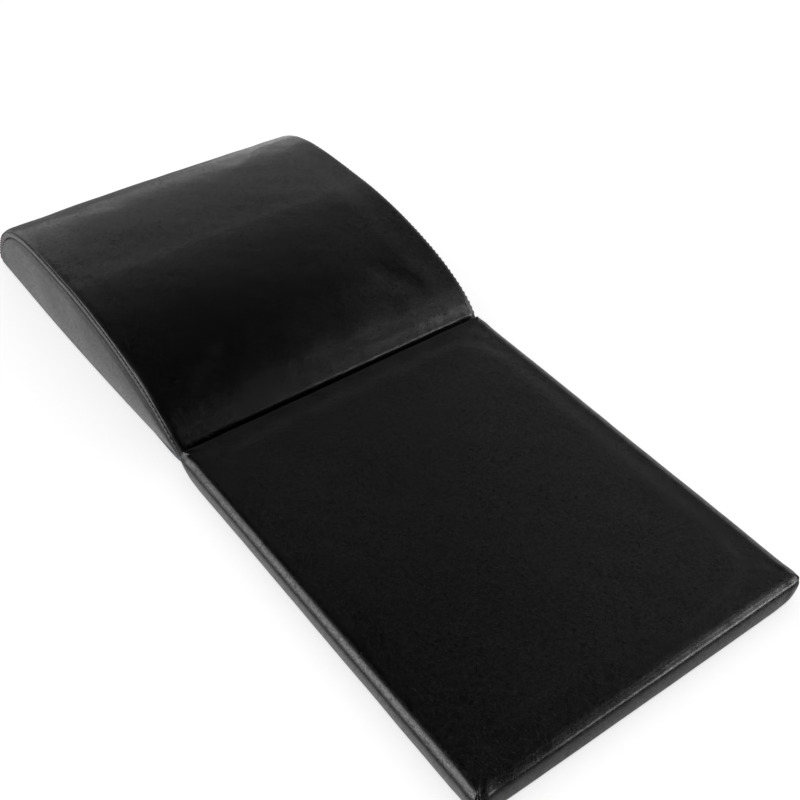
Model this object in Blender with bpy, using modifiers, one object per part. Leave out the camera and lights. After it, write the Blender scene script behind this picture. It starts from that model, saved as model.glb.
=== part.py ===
"""Folding ab mat, modelled as the separate pieces that it is sewn and glued up from.

A domed wedge and a flat tailbone pad lie end to end on the floor. Each is a foam core in
a leather-cloth cover, closed underneath by a non-slip base cloth. A cloth strip under the
gap between them is the hinge: the pad folds down and under until the two bases meet.

World frame: metres, +Z up, X across the mat, +Y from the pad towards the wedge, with the
origin on the floor in the middle of the whole mat.
"""

import math

import bmesh
import bpy
import numpy as np
from mathutils import Matrix, Vector

# Flat tailbone pad
PAD_LENGTH = 0.392
PAD_WIDTH = 0.309
PAD_THICKNESS = 0.0262
PAD_CROWN = 0.0010
PAD_CORNER_RADIUS = 0.007
PAD_EDGE_RADIUS = 0.005
PAD_SIDE_BULGE = 0.0008
PLEAT_DEPTH = 0.0008

# Domed wedge: its outline is two superellipse quarters that meet at the apex. The nose
# makes the toe blunt: upright to about the pad's height, then rounded into the dome.
WEDGE_LENGTH = 0.375
WEDGE_WIDTH = 0.311
WEDGE_HEIGHT = 0.0790
WEDGE_CROWN = 0.0020
APEX_FROM_TOE = 0.178
TOE_FULLNESS = 1.63
TOE_STEEPNESS = 2.56
NOSE_SHARE = 0.041
NOSE_SHARPNESS = 330.0
BACK_FULLNESS = 4.20
BACK_STEEPNESS = 1.32
WEDGE_EDGE_RADIUS = 0.005
LIP_DEPTH = 0.0075
SEAM_DIP = 0.0008
PANEL_BULGE = 0.0010

# The lower corners are pulled under when the covers are stretched and glued
TOE_TUCK = 0.007
TOE_TUCK_LENGTH = 0.280
TOE_TUCK_HEIGHT = 0.045
CORNER_TUCK = 0.003
CORNER_TUCK_REACH = 0.070

# Sheet materials
COVER_THICKNESS = 0.0012
BASE_CLOTH_THICKNESS = 0.0012
BASE_CLOTH_INSET = 0.010
BASE_CLOTH_CORNER_RADIUS = 0.012
HEM_WIDTH = 0.024
HEM_RADIUS = 0.003

# Cloth hinge and threads
HINGE_GAP = 0.0052
STRIP_FLANGE = 0.026
STRIP_THICKNESS = 0.0005
STRIP_END_INSET = 0.014
STRIP_TO_CLOTH = 0.0015
STRIP_CORNER_RADIUS = 0.003
STITCH_BOX_INSET = 0.004
THREAD_RADIUS = 0.00018
TOPSTITCH_RADIUS = 0.00035
TOPSTITCH_END_HEIGHT = 0.010
FOLDED_BASE_GAP = 0.0010

# Working clearance between neighbouring pieces
CLEARANCE = 0.0003

# Mesh counts
DOME_ROWS = 26
TOPSTITCH_POINTS = 64
RIM_STEPS = 3
TOP_COLUMNS = 6
SIDE_LEVELS = 4
CORNER_STEPS = 4
EDGE_STEPS = 3
HEM_CORNER_STEPS = 3
PAD_CUTS = (-1.0, -0.6, -0.2, 0.2, 0.6, 1.0)
OUTLINE_SAMPLES = 1200
SHARP_ANGLE = math.radians(40)
EMPTY_SIZE = 0.03

# Places that follow from the sizes
MAT_LENGTH = PAD_LENGTH + HINGE_GAP + WEDGE_LENGTH
PAD_FRONT_Y = -MAT_LENGTH / 2
PAD_HINGE_Y = PAD_FRONT_Y + PAD_LENGTH
PAD_MIDDLE_Y = PAD_FRONT_Y + PAD_LENGTH / 2
WEDGE_TOE_Y = PAD_HINGE_Y + HINGE_GAP
WEDGE_BACK_Y = WEDGE_TOE_Y + WEDGE_LENGTH
HINGE_Y = PAD_HINGE_Y + HINGE_GAP / 2
HINGE_Z = -FOLDED_BASE_GAP / 2
HEM_LEVEL = BASE_CLOTH_THICKNESS + CLEARANCE
FOAM_INSET = COVER_THICKNESS + CLEARANCE
FOAM_LEVEL = HEM_LEVEL + FOAM_INSET
STRIP_TOP = HEM_LEVEL - CLEARANCE

COVER_COLOUR = (0.012, 0.012, 0.013)
FOAM_COLOUR = (0.30, 0.31, 0.33)
CLOTH_COLOUR = (0.020, 0.020, 0.021)
THREAD_COLOUR = (0.030, 0.030, 0.031)


def clear_scene():
    """Remove every object so that the script can be run again."""
    for item in list(bpy.data.objects):
        bpy.data.objects.remove(item, do_unlink=True)


def make_collection(name):
    """Return a new collection under the scene's own."""
    group = bpy.data.collections.new(name)
    bpy.context.scene.collection.children.link(group)
    return group


def make_material(name, colour, roughness):
    """Plain Principled material in the piece's colour."""
    material = bpy.data.materials.new(name)
    material.use_nodes = True
    shader = material.node_tree.nodes["Principled BSDF"]
    shader.inputs["Base Color"].default_value = (*colour, 1.0)
    shader.inputs["Roughness"].default_value = roughness
    shader.inputs["Metallic"].default_value = 0.0
    return material


def make_empty(name, place):
    """Empty that marks a body's own reference point."""
    item = bpy.data.objects.new(name, None)
    item.empty_display_size = EMPTY_SIZE
    item.location = place
    mat_parts.objects.link(item)
    bpy.context.view_layer.update()
    return item


def place_object(name, data, material, parent):
    """Link an object whose points are in world places, and hang it on its body's empty."""
    item = bpy.data.objects.new(name, data)
    data.materials.append(material)
    mat_parts.objects.link(item)
    item.parent = parent
    item.matrix_parent_inverse = parent.matrix_world.inverted()
    return item


def finish_mesh(name, shape, material, parent):
    """Turn a bmesh into a named, smooth-shaded object with its faces outwards."""
    middle = sum((vertex.co for vertex in shape.verts), Vector()) / len(shape.verts)
    shape.normal_update()
    facing = sum(
        face.calc_area() * face.normal.dot(face.calc_center_median() - middle)
        for face in shape.faces)
    if facing < 0.0:
        bmesh.ops.reverse_faces(shape, faces=shape.faces)
    mesh = bpy.data.meshes.new(name)
    shape.to_mesh(mesh)
    shape.free()
    mesh.shade_smooth()
    mesh.set_sharp_from_angle(angle=SHARP_ANGLE)
    return place_object(name, mesh, material, parent)


def add_thickness(item, thickness):
    """Give an open sheet its thickness on the inner side."""
    solid = item.modifiers.new("thickness", "SOLIDIFY")
    solid.thickness = thickness
    solid.offset = -1.0
    solid.use_even_offset = True


def fade(distance, reach):
    """Fall smoothly from 1 at no distance to 0 at the reach and beyond."""
    share = min(max(distance / reach, 0.0), 1.0)
    return (1.0 - share) ** 2


def sheet_from_rows(rows):
    """Open sheet through rows of points: a grid primitive whose points take their places."""
    shape = bmesh.new()
    columns = len(rows[0])
    bmesh.ops.create_grid(
        shape, x_segments=columns - 1, y_segments=len(rows) - 1, size=1.0)
    shape.verts.ensure_lookup_table()
    for index, vertex in enumerate(shape.verts):
        vertex.co = Vector(rows[index // columns][index % columns])
    return shape


def dome_line(inset, count, lowest):
    """Outline of the dome as (y, z) points with outward normals, from the toe to the back.

    Each side of the apex is z = height * (1 - s ** fullness) ** (1 / steepness), where s
    runs from 0 at the apex to 1 at the toe or the back. At the toe a small share of
    s ** fullness is s ** sharpness instead, which squares the nose. The line is moved
    inwards by the inset and cut off below the lowest height. Its points lie closer where
    it bends more.
    """
    turn = np.linspace(0.0, 1.0, OUTLINE_SAMPLES) ** 2 * math.pi / 2
    nose = NOSE_SHARE * np.cos(turn) ** NOSE_SHARPNESS
    front_fall = (1.0 - NOSE_SHARE) * np.cos(turn) ** TOE_FULLNESS + nose
    front_rise = np.maximum(1.0 - front_fall, 0.0) ** (1.0 / TOE_STEEPNESS)
    front_y = WEDGE_TOE_Y + APEX_FROM_TOE * (1.0 - np.cos(turn))
    back_rise = (1.0 - np.cos(turn) ** BACK_FULLNESS) ** (1.0 / BACK_STEEPNESS)
    back_y = WEDGE_BACK_Y - (WEDGE_LENGTH - APEX_FROM_TOE) * (1.0 - np.cos(turn))
    line = np.concatenate([
        np.column_stack([front_y, WEDGE_HEIGHT * front_rise]),
        np.column_stack([back_y, WEDGE_HEIGHT * back_rise])[-2::-1],
    ])
    line = line - line_normals(line) * inset
    line = line[line[:, 1] >= lowest]
    moves = np.diff(line, axis=0)
    lengths = np.hypot(*moves.T)
    bends = np.abs(np.diff(np.unwrap(np.arctan2(moves[:, 1], moves[:, 0])), prepend=0.0))
    bends[0] = 0.0
    run = np.concatenate([[0.0], np.cumsum(lengths / lengths.sum() + bends / bends.sum())])
    wanted = np.linspace(0.0, run[-1], count)
    line = np.column_stack([np.interp(wanted, run, line[:, k]) for k in range(2)])
    return line, line_normals(line)


def line_normals(line):
    """Outward unit normals of a line that runs over the dome from toe to back."""
    along = np.gradient(line, axis=0)
    along /= np.hypot(*along.T)[:, None]
    return np.column_stack([-along[:, 1], along[:, 0]])


def wedge_half_width(y, z):
    """Half the wedge's width: full, but drawn in where the toe's lower corners are tucked."""
    tuck = fade(y - WEDGE_TOE_Y, TOE_TUCK_LENGTH) * fade(z, TOE_TUCK_HEIGHT)
    return WEDGE_WIDTH / 2 - TOE_TUCK * tuck


def rim_section(radius, crown):
    """Right half of the section over the wedge's top, as (x from the edge, depth) pairs.

    A quarter round carries the upright side onto the top, which then rises to its crown
    at the middle. Depth is measured inwards from the dome's outline.
    """
    pairs = []
    for step in range(RIM_STEPS + 1):
        angle = step / RIM_STEPS * math.pi / 2
        pairs.append((radius * (1 - math.cos(angle)), radius * (1 - math.sin(angle))))
    flat = WEDGE_WIDTH / 2 - radius
    for step in range(1, TOP_COLUMNS // 2 + 1):
        share = step / (TOP_COLUMNS // 2)
        pairs.append((radius + flat * share, -crown * (1 - (1 - share) ** 2)))
    return pairs


def both_sides(half_row):
    """Whole row of points from its right half, which ends on the middle plane."""
    mirrored = [(-x, y, z) for x, y, z in half_row[:-1]]
    return mirrored + half_row[::-1]


def top_row(point, outward, half_width, pairs):
    """Row of points across the wedge where its outline has this point and normal.

    The crown stands up from the top alone, so it fades where the outline turns upright.
    """
    row = []
    for from_edge, depth in pairs:
        if depth < 0.0:
            depth *= max(outward[1], 0.0)
        x = max(half_width - from_edge, 0.0)
        row.append((x, point[0] - outward[0] * depth, point[1] - outward[1] * depth))
    row[-1] = (0.0, *row[-1][1:])
    return both_sides(row)


def hem_row(edge_y, inwards, under, z, pairs):
    """Row of the top cover's turned-under hem, this far in from the foot of its face.

    The row shortens at 45 degrees, so that the hem meets the side panels' hems in a mitre.
    The columns that make the lip above are gathered close to the hem's end.
    """
    y = edge_y + inwards * under
    half = wedge_half_width(y, z) - max(under, HEM_RADIUS) - CLEARANCE
    gathered = len(pairs) - TOP_COLUMNS // 2
    row = [(half - index * CLEARANCE, y, z) for index in range(gathered)]
    for step in range(1, TOP_COLUMNS // 2 + 1):
        row.append((row[gathered - 1][0] * (1 - step / (TOP_COLUMNS // 2)), y, z))
    return both_sides(row)


def hem_rows(edge_y, inwards, pairs):
    """Rows of a hem from its free edge out to the foot of the upright face."""
    rows = []
    for under in (HEM_WIDTH, (HEM_WIDTH + HEM_RADIUS) / 2, HEM_RADIUS):
        rows.append(hem_row(edge_y, inwards, under, HEM_LEVEL, pairs))
    for step in range(1, HEM_CORNER_STEPS):
        angle = step / HEM_CORNER_STEPS * math.pi / 2
        under = HEM_RADIUS * (1 - math.sin(angle))
        z = HEM_LEVEL + HEM_RADIUS * (1 - math.cos(angle))
        rows.append(hem_row(edge_y, inwards, under, z, pairs))
    return rows


def make_wedge_top_cover():
    """One sheet over toe, dome and back, with a lip down each side and hems beneath."""
    lip = [(SEAM_DIP, LIP_DEPTH), (0.0, LIP_DEPTH - SEAM_DIP)]
    pairs = lip + rim_section(WEDGE_EDGE_RADIUS, WEDGE_CROWN)
    line, outward = dome_line(0.0, DOME_ROWS, HEM_LEVEL + HEM_RADIUS)
    rows = hem_rows(WEDGE_TOE_Y, 1.0, pairs)
    for point, normal in zip(line, outward):
        rows.append(top_row(point, normal, wedge_half_width(*point), pairs))
    rows += hem_rows(WEDGE_BACK_Y, -1.0, pairs)[::-1]
    cover = finish_mesh("wedge_top_cover", sheet_from_rows(rows), cover_material, wedge)
    add_thickness(cover, COVER_THICKNESS)


def side_levels(top, bottom, inset):
    """Points down the wedge's side from one place on its seam to one on its foot.

    The side swells as half a sine wave, and more where it is taller.
    """
    swell = PANEL_BULGE * (top[1] - bottom[1]) / WEDGE_HEIGHT
    points = []
    for level in range(SIDE_LEVELS + 1):
        share = level / SIDE_LEVELS
        y = top[0] + (bottom[0] - top[0]) * share
        z = top[1] + (bottom[1] - top[1]) * share
        bulge = swell * math.sin(math.pi * share)
        points.append((wedge_half_width(y, z) - inset + bulge, y, z))
    return points


def make_side_panel(name, side):
    """Flat crescent that closes one side, sewn to the lip and turned under at its foot."""
    inset = LIP_DEPTH + 2 * CLEARANCE
    foot = HEM_LEVEL + HEM_RADIUS
    line, outward = dome_line(inset + SEAM_DIP, DOME_ROWS, foot + SEAM_DIP)
    feet = np.linspace(line[0, 0], line[-1, 0], DOME_ROWS)
    rows = []
    for point, normal, foot_y in zip(line, outward, feet):
        edge = point + normal * SEAM_DIP
        row = [(wedge_half_width(*edge) - SEAM_DIP, *edge)]
        row += side_levels(point, (foot_y, foot), 0.0)
        room = min(foot_y - WEDGE_TOE_Y, WEDGE_BACK_Y - foot_y) - CLEARANCE
        hem = min(HEM_WIDTH, room)
        half = wedge_half_width(foot_y, HEM_LEVEL)
        for step in range(1, HEM_CORNER_STEPS + 1):
            angle = step / HEM_CORNER_STEPS * math.pi / 2
            z = foot - HEM_RADIUS * math.sin(angle)
            row.append((half - HEM_RADIUS * (1 - math.cos(angle)), foot_y, z))
        row.append((half - (hem + HEM_RADIUS) / 2, foot_y, HEM_LEVEL))
        row.append((half - hem, foot_y, HEM_LEVEL))
        rows.append([(side * x, y, z) for x, y, z in row])
    panel = finish_mesh(name, sheet_from_rows(rows), cover_material, wedge)
    add_thickness(panel, COVER_THICKNESS)


def make_wedge_foam():
    """Dense foam core: the cover's shape, smaller by the cover and its clearance."""
    line, outward = dome_line(FOAM_INSET, DOME_ROWS, FOAM_LEVEL + HEM_RADIUS)
    radius = WEDGE_EDGE_RADIUS - CLEARANCE
    feet = np.linspace(line[0, 0] + radius, line[-1, 0] - radius, DOME_ROWS)
    side_inset = FOAM_INSET + SEAM_DIP + CLEARANCE
    foot_chamfer = HEM_RADIUS / 2
    pairs = rim_section(radius, WEDGE_CROWN)
    rows = []
    for point, normal, foot_y in zip(line, outward, feet):
        rim_foot = point - normal * radius
        half = wedge_half_width(*point) - side_inset
        over = top_row(point, normal, half, pairs)
        side = side_levels(rim_foot, (foot_y, FOAM_LEVEL + foot_chamfer), side_inset)[1:]
        foot_x = wedge_half_width(foot_y, FOAM_LEVEL) - side_inset - foot_chamfer
        side.append((foot_x, foot_y, FOAM_LEVEL))
        left = [(-x, y, z) for x, y, z in side[::-1]]
        rows.append(left + over + side)
    shape = sheet_from_rows(rows)
    close_foam(shape, len(rows), len(rows[0]))
    finish_mesh("wedge_foam_core", shape, foam_material, wedge)


def close_foam(shape, row_count, column_count):
    """Close the foam sheet with its toe face, its back face and its flat base."""
    shape.verts.ensure_lookup_table()
    grid = [shape.verts[index * column_count:(index + 1) * column_count]
            for index in range(row_count)]
    shape.faces.new(grid[0])
    shape.faces.new(grid[-1])
    left = [row[0] for row in grid]
    right = [row[-1] for row in grid]
    shape.faces.new(left + right[::-1])
    bmesh.ops.recalc_face_normals(shape, faces=shape.faces)


def plate(low, high, corner_radius):
    """Flat plate between two corners, with its upright edges rounded."""
    shape = bmesh.new()
    size = Vector(high) - Vector(low)
    middle = (Vector(high) + Vector(low)) / 2
    bmesh.ops.create_cube(
        shape, size=1.0, matrix=Matrix.Translation(middle) @ Matrix.Diagonal((*size, 1.0)))
    round_upright_edges(shape, corner_radius)
    return shape


def round_upright_edges(shape, radius):
    """Round the edges of a block that stand upright."""
    upright = [edge for edge in shape.edges
               if abs(edge.verts[0].co.z - edge.verts[1].co.z) > CLEARANCE]
    bmesh.ops.bevel(
        shape, geom=upright, offset=radius, offset_type="OFFSET", segments=CORNER_STEPS,
        profile=0.5, affect="EDGES", clamp_overlap=False)


def make_plate(name, low, high, corner_radius, material, parent):
    """Named piece cut from flat sheet."""
    finish_mesh(name, plate(low, high, corner_radius), material, parent)


def rim_edges(shape, z):
    """Edges of a block that lie flat at this height."""
    return [edge for edge in shape.edges
            if all(abs(vertex.co.z - z) < CLEARANCE / 10 for vertex in edge.verts)]


def round_rim(shape, z, radius, steps):
    """Round the rim of a block at its top or its foot."""
    bmesh.ops.bevel(
        shape, geom=rim_edges(shape, z), offset=radius, offset_type="OFFSET",
        segments=steps, profile=0.5, affect="EDGES", clamp_overlap=False)


def pad_block(inset, foot_level):
    """The pad's outer form as a block, smaller all round by the inset."""
    low = (-PAD_WIDTH / 2 + inset, PAD_FRONT_Y + inset, foot_level)
    high = (PAD_WIDTH / 2 - inset, PAD_HINGE_Y - inset, PAD_THICKNESS - inset)
    shape = plate(low, high, PAD_CORNER_RADIUS)
    round_rim(shape, high[2], PAD_EDGE_RADIUS - inset / 2, EDGE_STEPS)
    round_rim(shape, low[2], HEM_RADIUS - inset / 2, HEM_CORNER_STEPS)
    cut_level(shape, 2, (low[2] + high[2]) / 2)
    for share in PAD_CUTS:
        cut_level(shape, 0, share * (PAD_WIDTH / 2 - HEM_WIDTH))
        cut_level(shape, 1, PAD_MIDDLE_Y + share * (PAD_LENGTH / 2 - HEM_WIDTH))
    return shape, low[2], high[2]


def cut_level(shape, axis, place):
    """Cut a block's faces along the plane across one axis at this place."""
    normal = Vector((0.0, 0.0, 0.0))
    normal[axis] = 1.0
    bmesh.ops.bisect_plane(
        shape, geom=shape.verts[:] + shape.edges[:] + shape.faces[:],
        plane_co=normal * place, plane_no=normal)


def form_pad(shape, low_z, high_z):
    """Crown the top, let the sides swell, and pleat and tuck the wrapped corners."""
    corner_x = PAD_WIDTH / 2 - PAD_CORNER_RADIUS
    corner_y = PAD_LENGTH / 2 - PAD_CORNER_RADIUS
    for vertex in shape.verts:
        point = vertex.co
        across = point.x / (PAD_WIDTH / 2)
        along = (point.y - PAD_MIDDLE_Y) / (PAD_LENGTH / 2)
        height = (point.z - low_z) / (high_z - low_z)
        from_x = abs(point.x) - corner_x
        from_y = abs(point.y - PAD_MIDDLE_Y) - corner_y
        in_corner = from_x > 0.0 and from_y > 0.0
        swell = PAD_SIDE_BULGE * math.sin(math.pi * height)
        point.x += swell * across
        point.y += swell * along
        if in_corner and abs(from_x - from_y) < CLEARANCE and 0.0 < height < 1.0:
            pinch = PLEAT_DEPTH * math.sin(math.pi * height)
            point.x -= math.copysign(pinch, across)
            point.y -= math.copysign(pinch, along)
        if height > 0.5:
            rise = (1 - min(abs(across), 1.0) ** 2) * (1 - min(abs(along), 1.0) ** 2)
            point.z += PAD_CROWN * rise
        tuck_pad_corner(point)


def tuck_pad_corner(point):
    """Pull a point of the pad inwards where it lies low down near a corner."""
    to_side = max(PAD_WIDTH / 2 - abs(point.x), 0.0)
    to_end = max(PAD_LENGTH / 2 - abs(point.y - PAD_MIDDLE_Y), 0.0)
    near = fade(math.hypot(to_side, to_end), CORNER_TUCK_REACH)
    pull = CORNER_TUCK * near * fade(point.z, PAD_THICKNESS)
    point.x -= math.copysign(pull, point.x)
    point.y -= math.copysign(pull, point.y - PAD_MIDDLE_Y)


def make_pad_cover():
    """One sheet wrapped over the top and four sides, with its hem turned under."""
    shape, low_z, high_z = pad_block(0.0, HEM_LEVEL)
    window_x = PAD_WIDTH / 2 - HEM_WIDTH
    window_y = PAD_LENGTH / 2 - HEM_WIDTH
    window = []
    for face in shape.faces:
        centre = face.calc_center_median()
        beside_x = abs(centre.x) < window_x
        beside_y = abs(centre.y - PAD_MIDDLE_Y) < window_y
        if beside_x and beside_y and centre.z < low_z + CLEARANCE:
            window.append(face)
    bmesh.ops.delete(shape, geom=window, context="FACES")
    form_pad(shape, low_z, high_z)
    cover = finish_mesh("pad_cover", shape, cover_material, pad)
    add_thickness(cover, COVER_THICKNESS)


def make_pad_foam():
    """Foam slab inside the pad's cover."""
    shape, low_z, high_z = pad_block(FOAM_INSET + PLEAT_DEPTH, FOAM_LEVEL)
    form_pad(shape, low_z, high_z)
    finish_mesh("pad_foam_core", shape, foam_material, pad)


def make_thread(name, points, radius, cyclic, parent):
    """Thread as a round tube along a line of points."""
    curve = bpy.data.curves.new(name, "CURVE")
    curve.dimensions = "3D"
    curve.bevel_depth = radius
    curve.bevel_resolution = 1
    curve.use_fill_caps = True
    spline = curve.splines.new("POLY")
    spline.points.add(len(points) - 1)
    for place, point in zip(spline.points, points):
        place.co = (*point, 1.0)
    spline.use_cyclic_u = cyclic
    return place_object(name, curve, thread_material, parent)


def make_topstitch(name, side):
    """Line of heavy thread that runs along the crest of the wedge's side edge."""
    line, outward = dome_line(0.0, TOPSTITCH_POINTS, TOPSTITCH_END_HEIGHT)
    slant = math.sqrt(0.5)
    stand_off = TOPSTITCH_RADIUS + CLEARANCE
    inwards = WEDGE_EDGE_RADIUS * (1 - slant) - stand_off * slant
    points = []
    for point, normal in zip(line, outward):
        y, z = point - normal * inwards
        points.append((side * (wedge_half_width(*point) - inwards), y, z))
    make_thread(name, points, TOPSTITCH_RADIUS, False, wedge)


def make_hinge_stitch(name, edge_y, inwards, parent):
    """Box of stitching that holds one flange of the hinge strip to the hem above it."""
    half = PAD_WIDTH / 2 - STRIP_END_INSET - STITCH_BOX_INSET
    near = edge_y + inwards * STITCH_BOX_INSET
    far = edge_y + inwards * (STRIP_FLANGE - STITCH_BOX_INSET)
    z = STRIP_TOP - STRIP_THICKNESS - CLEARANCE - THREAD_RADIUS
    points = [(-half, near, z), (half, near, z), (half, far, z), (-half, far, z)]
    make_thread(name, points, THREAD_RADIUS, True, parent)


def make_hinge():
    """Cloth strip under the gap, and the stitching of its two flanges."""
    half = PAD_WIDTH / 2 - STRIP_END_INSET
    low = (-half, PAD_HINGE_Y - STRIP_FLANGE, STRIP_TOP - STRIP_THICKNESS)
    high = (half, WEDGE_TOE_Y + STRIP_FLANGE, STRIP_TOP)
    make_plate("hinge_strip", low, high, STRIP_CORNER_RADIUS, strip_material, wedge)
    make_hinge_stitch("hinge_wedge_stitch", WEDGE_TOE_Y, 1.0, wedge)
    make_hinge_stitch("hinge_pad_stitch", PAD_HINGE_Y, -1.0, pad)


def make_base_cloths():
    """Non-slip cloth under each half, from the hinge strip's edge to near the far end."""
    beside_strip = STRIP_FLANGE + STRIP_TO_CLOTH
    wedge_half = WEDGE_WIDTH / 2 - TOE_TUCK - BASE_CLOTH_INSET
    make_plate(
        "wedge_base_cloth", (-wedge_half, WEDGE_TOE_Y + beside_strip, 0.0),
        (wedge_half, WEDGE_BACK_Y - BASE_CLOTH_INSET, BASE_CLOTH_THICKNESS),
        BASE_CLOTH_CORNER_RADIUS, cloth_material, wedge)
    pad_half = PAD_WIDTH / 2 - CORNER_TUCK - BASE_CLOTH_INSET
    make_plate(
        "pad_base_cloth", (-pad_half, PAD_FRONT_Y + CORNER_TUCK + BASE_CLOTH_INSET, 0.0),
        (pad_half, PAD_HINGE_Y - beside_strip, BASE_CLOTH_THICKNESS),
        BASE_CLOTH_CORNER_RADIUS, cloth_material, pad)


clear_scene()
mat_parts = make_collection("folding_ab_mat")
wedge = make_empty("wedge_body", (0.0, 0.0, 0.0))
pad = make_empty("fold_axis", (0.0, HINGE_Y, HINGE_Z))
cover_material = make_material("leather_cloth", COVER_COLOUR, 0.38)
foam_material = make_material("dense_foam", FOAM_COLOUR, 0.95)
cloth_material = make_material("non_slip_cloth", CLOTH_COLOUR, 0.85)
strip_material = make_material("hinge_cloth", CLOTH_COLOUR, 0.75)
thread_material = make_material("thread", THREAD_COLOUR, 0.55)

make_wedge_foam()
make_wedge_top_cover()
make_side_panel("wedge_left_panel", -1.0)
make_side_panel("wedge_right_panel", 1.0)
make_topstitch("wedge_left_topstitch", -1.0)
make_topstitch("wedge_right_topstitch", 1.0)
make_pad_foam()
make_pad_cover()
make_hinge()
make_base_cloths()
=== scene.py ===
import math

import bpy
import numpy as np
from mathutils import Euler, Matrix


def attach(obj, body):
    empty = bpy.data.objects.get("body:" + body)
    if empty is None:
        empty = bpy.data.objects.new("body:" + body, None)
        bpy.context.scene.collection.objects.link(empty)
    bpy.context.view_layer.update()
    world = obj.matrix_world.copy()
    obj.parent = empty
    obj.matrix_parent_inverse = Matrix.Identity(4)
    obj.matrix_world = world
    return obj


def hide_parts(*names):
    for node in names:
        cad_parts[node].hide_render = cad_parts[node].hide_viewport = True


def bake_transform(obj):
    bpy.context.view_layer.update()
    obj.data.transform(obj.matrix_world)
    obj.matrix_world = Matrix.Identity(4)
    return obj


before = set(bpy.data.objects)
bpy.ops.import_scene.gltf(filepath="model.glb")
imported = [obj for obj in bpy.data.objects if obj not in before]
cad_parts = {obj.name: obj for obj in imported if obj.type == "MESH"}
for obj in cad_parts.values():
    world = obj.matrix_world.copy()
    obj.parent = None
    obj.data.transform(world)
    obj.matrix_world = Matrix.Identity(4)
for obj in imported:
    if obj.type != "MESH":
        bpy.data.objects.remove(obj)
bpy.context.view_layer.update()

# Looks of a folding ab mat: leather-cloth covers, side panels, stitching, foam, base cloths
# with rubber dots, the cloth hinge, and the studio. Metres, in the solids' own frame.

# Sizes that the solids have too
PAD_LENGTH = 0.392
PAD_WIDTH = 0.309
PAD_THICKNESS = 0.0262
WEDGE_LENGTH = 0.375
WEDGE_WIDTH = 0.311
WEDGE_HEIGHT = 0.0790
APEX_FROM_TOE = 0.178
TOE_POWERS = (1.63, 2.56)
NOSE_SHARE = 0.035
NOSE_SHARPNESS = 330.0
BACK_POWERS = (4.20, 1.32)
HINGE_GAP = 0.0052
HEM_LEVEL = 0.0015
HEM_WIDTH = 0.024
HEM_RADIUS = 0.003
COVER_THICKNESS = 0.0012
STRIP_TOP = 0.0012
STRIP_THICKNESS = 0.0005
STRIP_INSET = 0.014
STRIP_FLANGE = 0.026
BOX_STITCH_NEAR = 0.004
BOX_STITCH_FAR = 0.022
BOX_STITCH_INSET = 0.018
WEDGE_CLOTH_INSET = 0.017
PAD_CLOTH_INSET = 0.013
CLOTH_FROM_HINGE = 0.0275
CLOTH_FROM_BACK = 0.010
CLOTH_CORNER = 0.012

# Soft shapes that only the looks have. A rim is a quarter ellipse: how far it reaches in
# from the edge and how far down.
WEDGE_RIM = {-1: (0.0085, 0.0030), 1: (0.0060, 0.0024)}
WEDGE_RIM_AT_TOE = {-1: (0.0100, 0.0061), 1: (0.0055, 0.0030)}
WEDGE_CROWN = 0.0018
LIP_BOTTOM = 0.0076
LIP_LEAN = 0.0003
STITCH_TURN = math.radians(17)
GROOVE_DEPTH = 0.0009
GROOVE_WIDTH = 0.0007
NOSE_FORWARD = 0.0012
TOE_TUCK = 0.0086
SEAM_DIP = 0.0032
PANEL_SWELL = 0.0010
RIGHT_LEAN = 0.0016
PAD_HALF_WIDTH = 0.1552
PAD_RIM_AT_SIDES = (0.0084, 0.0064)
PAD_RIM_AT_FRONT = (0.0104, 0.0088)
PAD_RIM_AT_HINGE = (0.0030, 0.0026)
PAD_CROWN = 0.0009
PAD_SIDE_BULGE = 0.0009
PAD_FLAT_FROM = 0.045
PAD_FOOT_IN = 0.0014
PAD_FRONT_FOOT_OUT = 0.0011
PAD_CORNER_PULL = 0.0016
PAD_CORNER_EAR = 0.0006
FOAM_INSET = 0.0024
SETTLE_LIMIT = 0.0006

# Stitches: how far apart, how long, how thick and how far they stand out
TOPSTITCH = {"pitch": 0.0050, "length": 0.0034, "radius": 0.00046}
TOPSTITCH_LIFT = {-1: 0.00100, 1: 0.00055}
BOX_STITCH = {"pitch": 0.0034, "length": 0.0027, "radius": 0.00018, "lift": 0.0001}

# Grip dots: how far apart, the next row's step as a share of that, how far they keep from the
# cloth's edge, and their rings as radius and level
DOT_PITCH = 0.0072
DOT_ROW_STEP = 0.866
DOT_MARGIN = 0.007
DOT_RINGS = ((0.00150, 0.0005), (0.00125, 0.00012), (0.0007, 0.0))
DOT_SIDES = 10

PAD_FRONT_Y = -(PAD_LENGTH + HINGE_GAP + WEDGE_LENGTH) / 2
PAD_HINGE_Y = PAD_FRONT_Y + PAD_LENGTH
PAD_MIDDLE_Y = PAD_FRONT_Y + PAD_LENGTH / 2
TOE_Y = PAD_HINGE_Y + HINGE_GAP
BACK_Y = TOE_Y + WEDGE_LENGTH


# Points, grids and meshes


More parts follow.
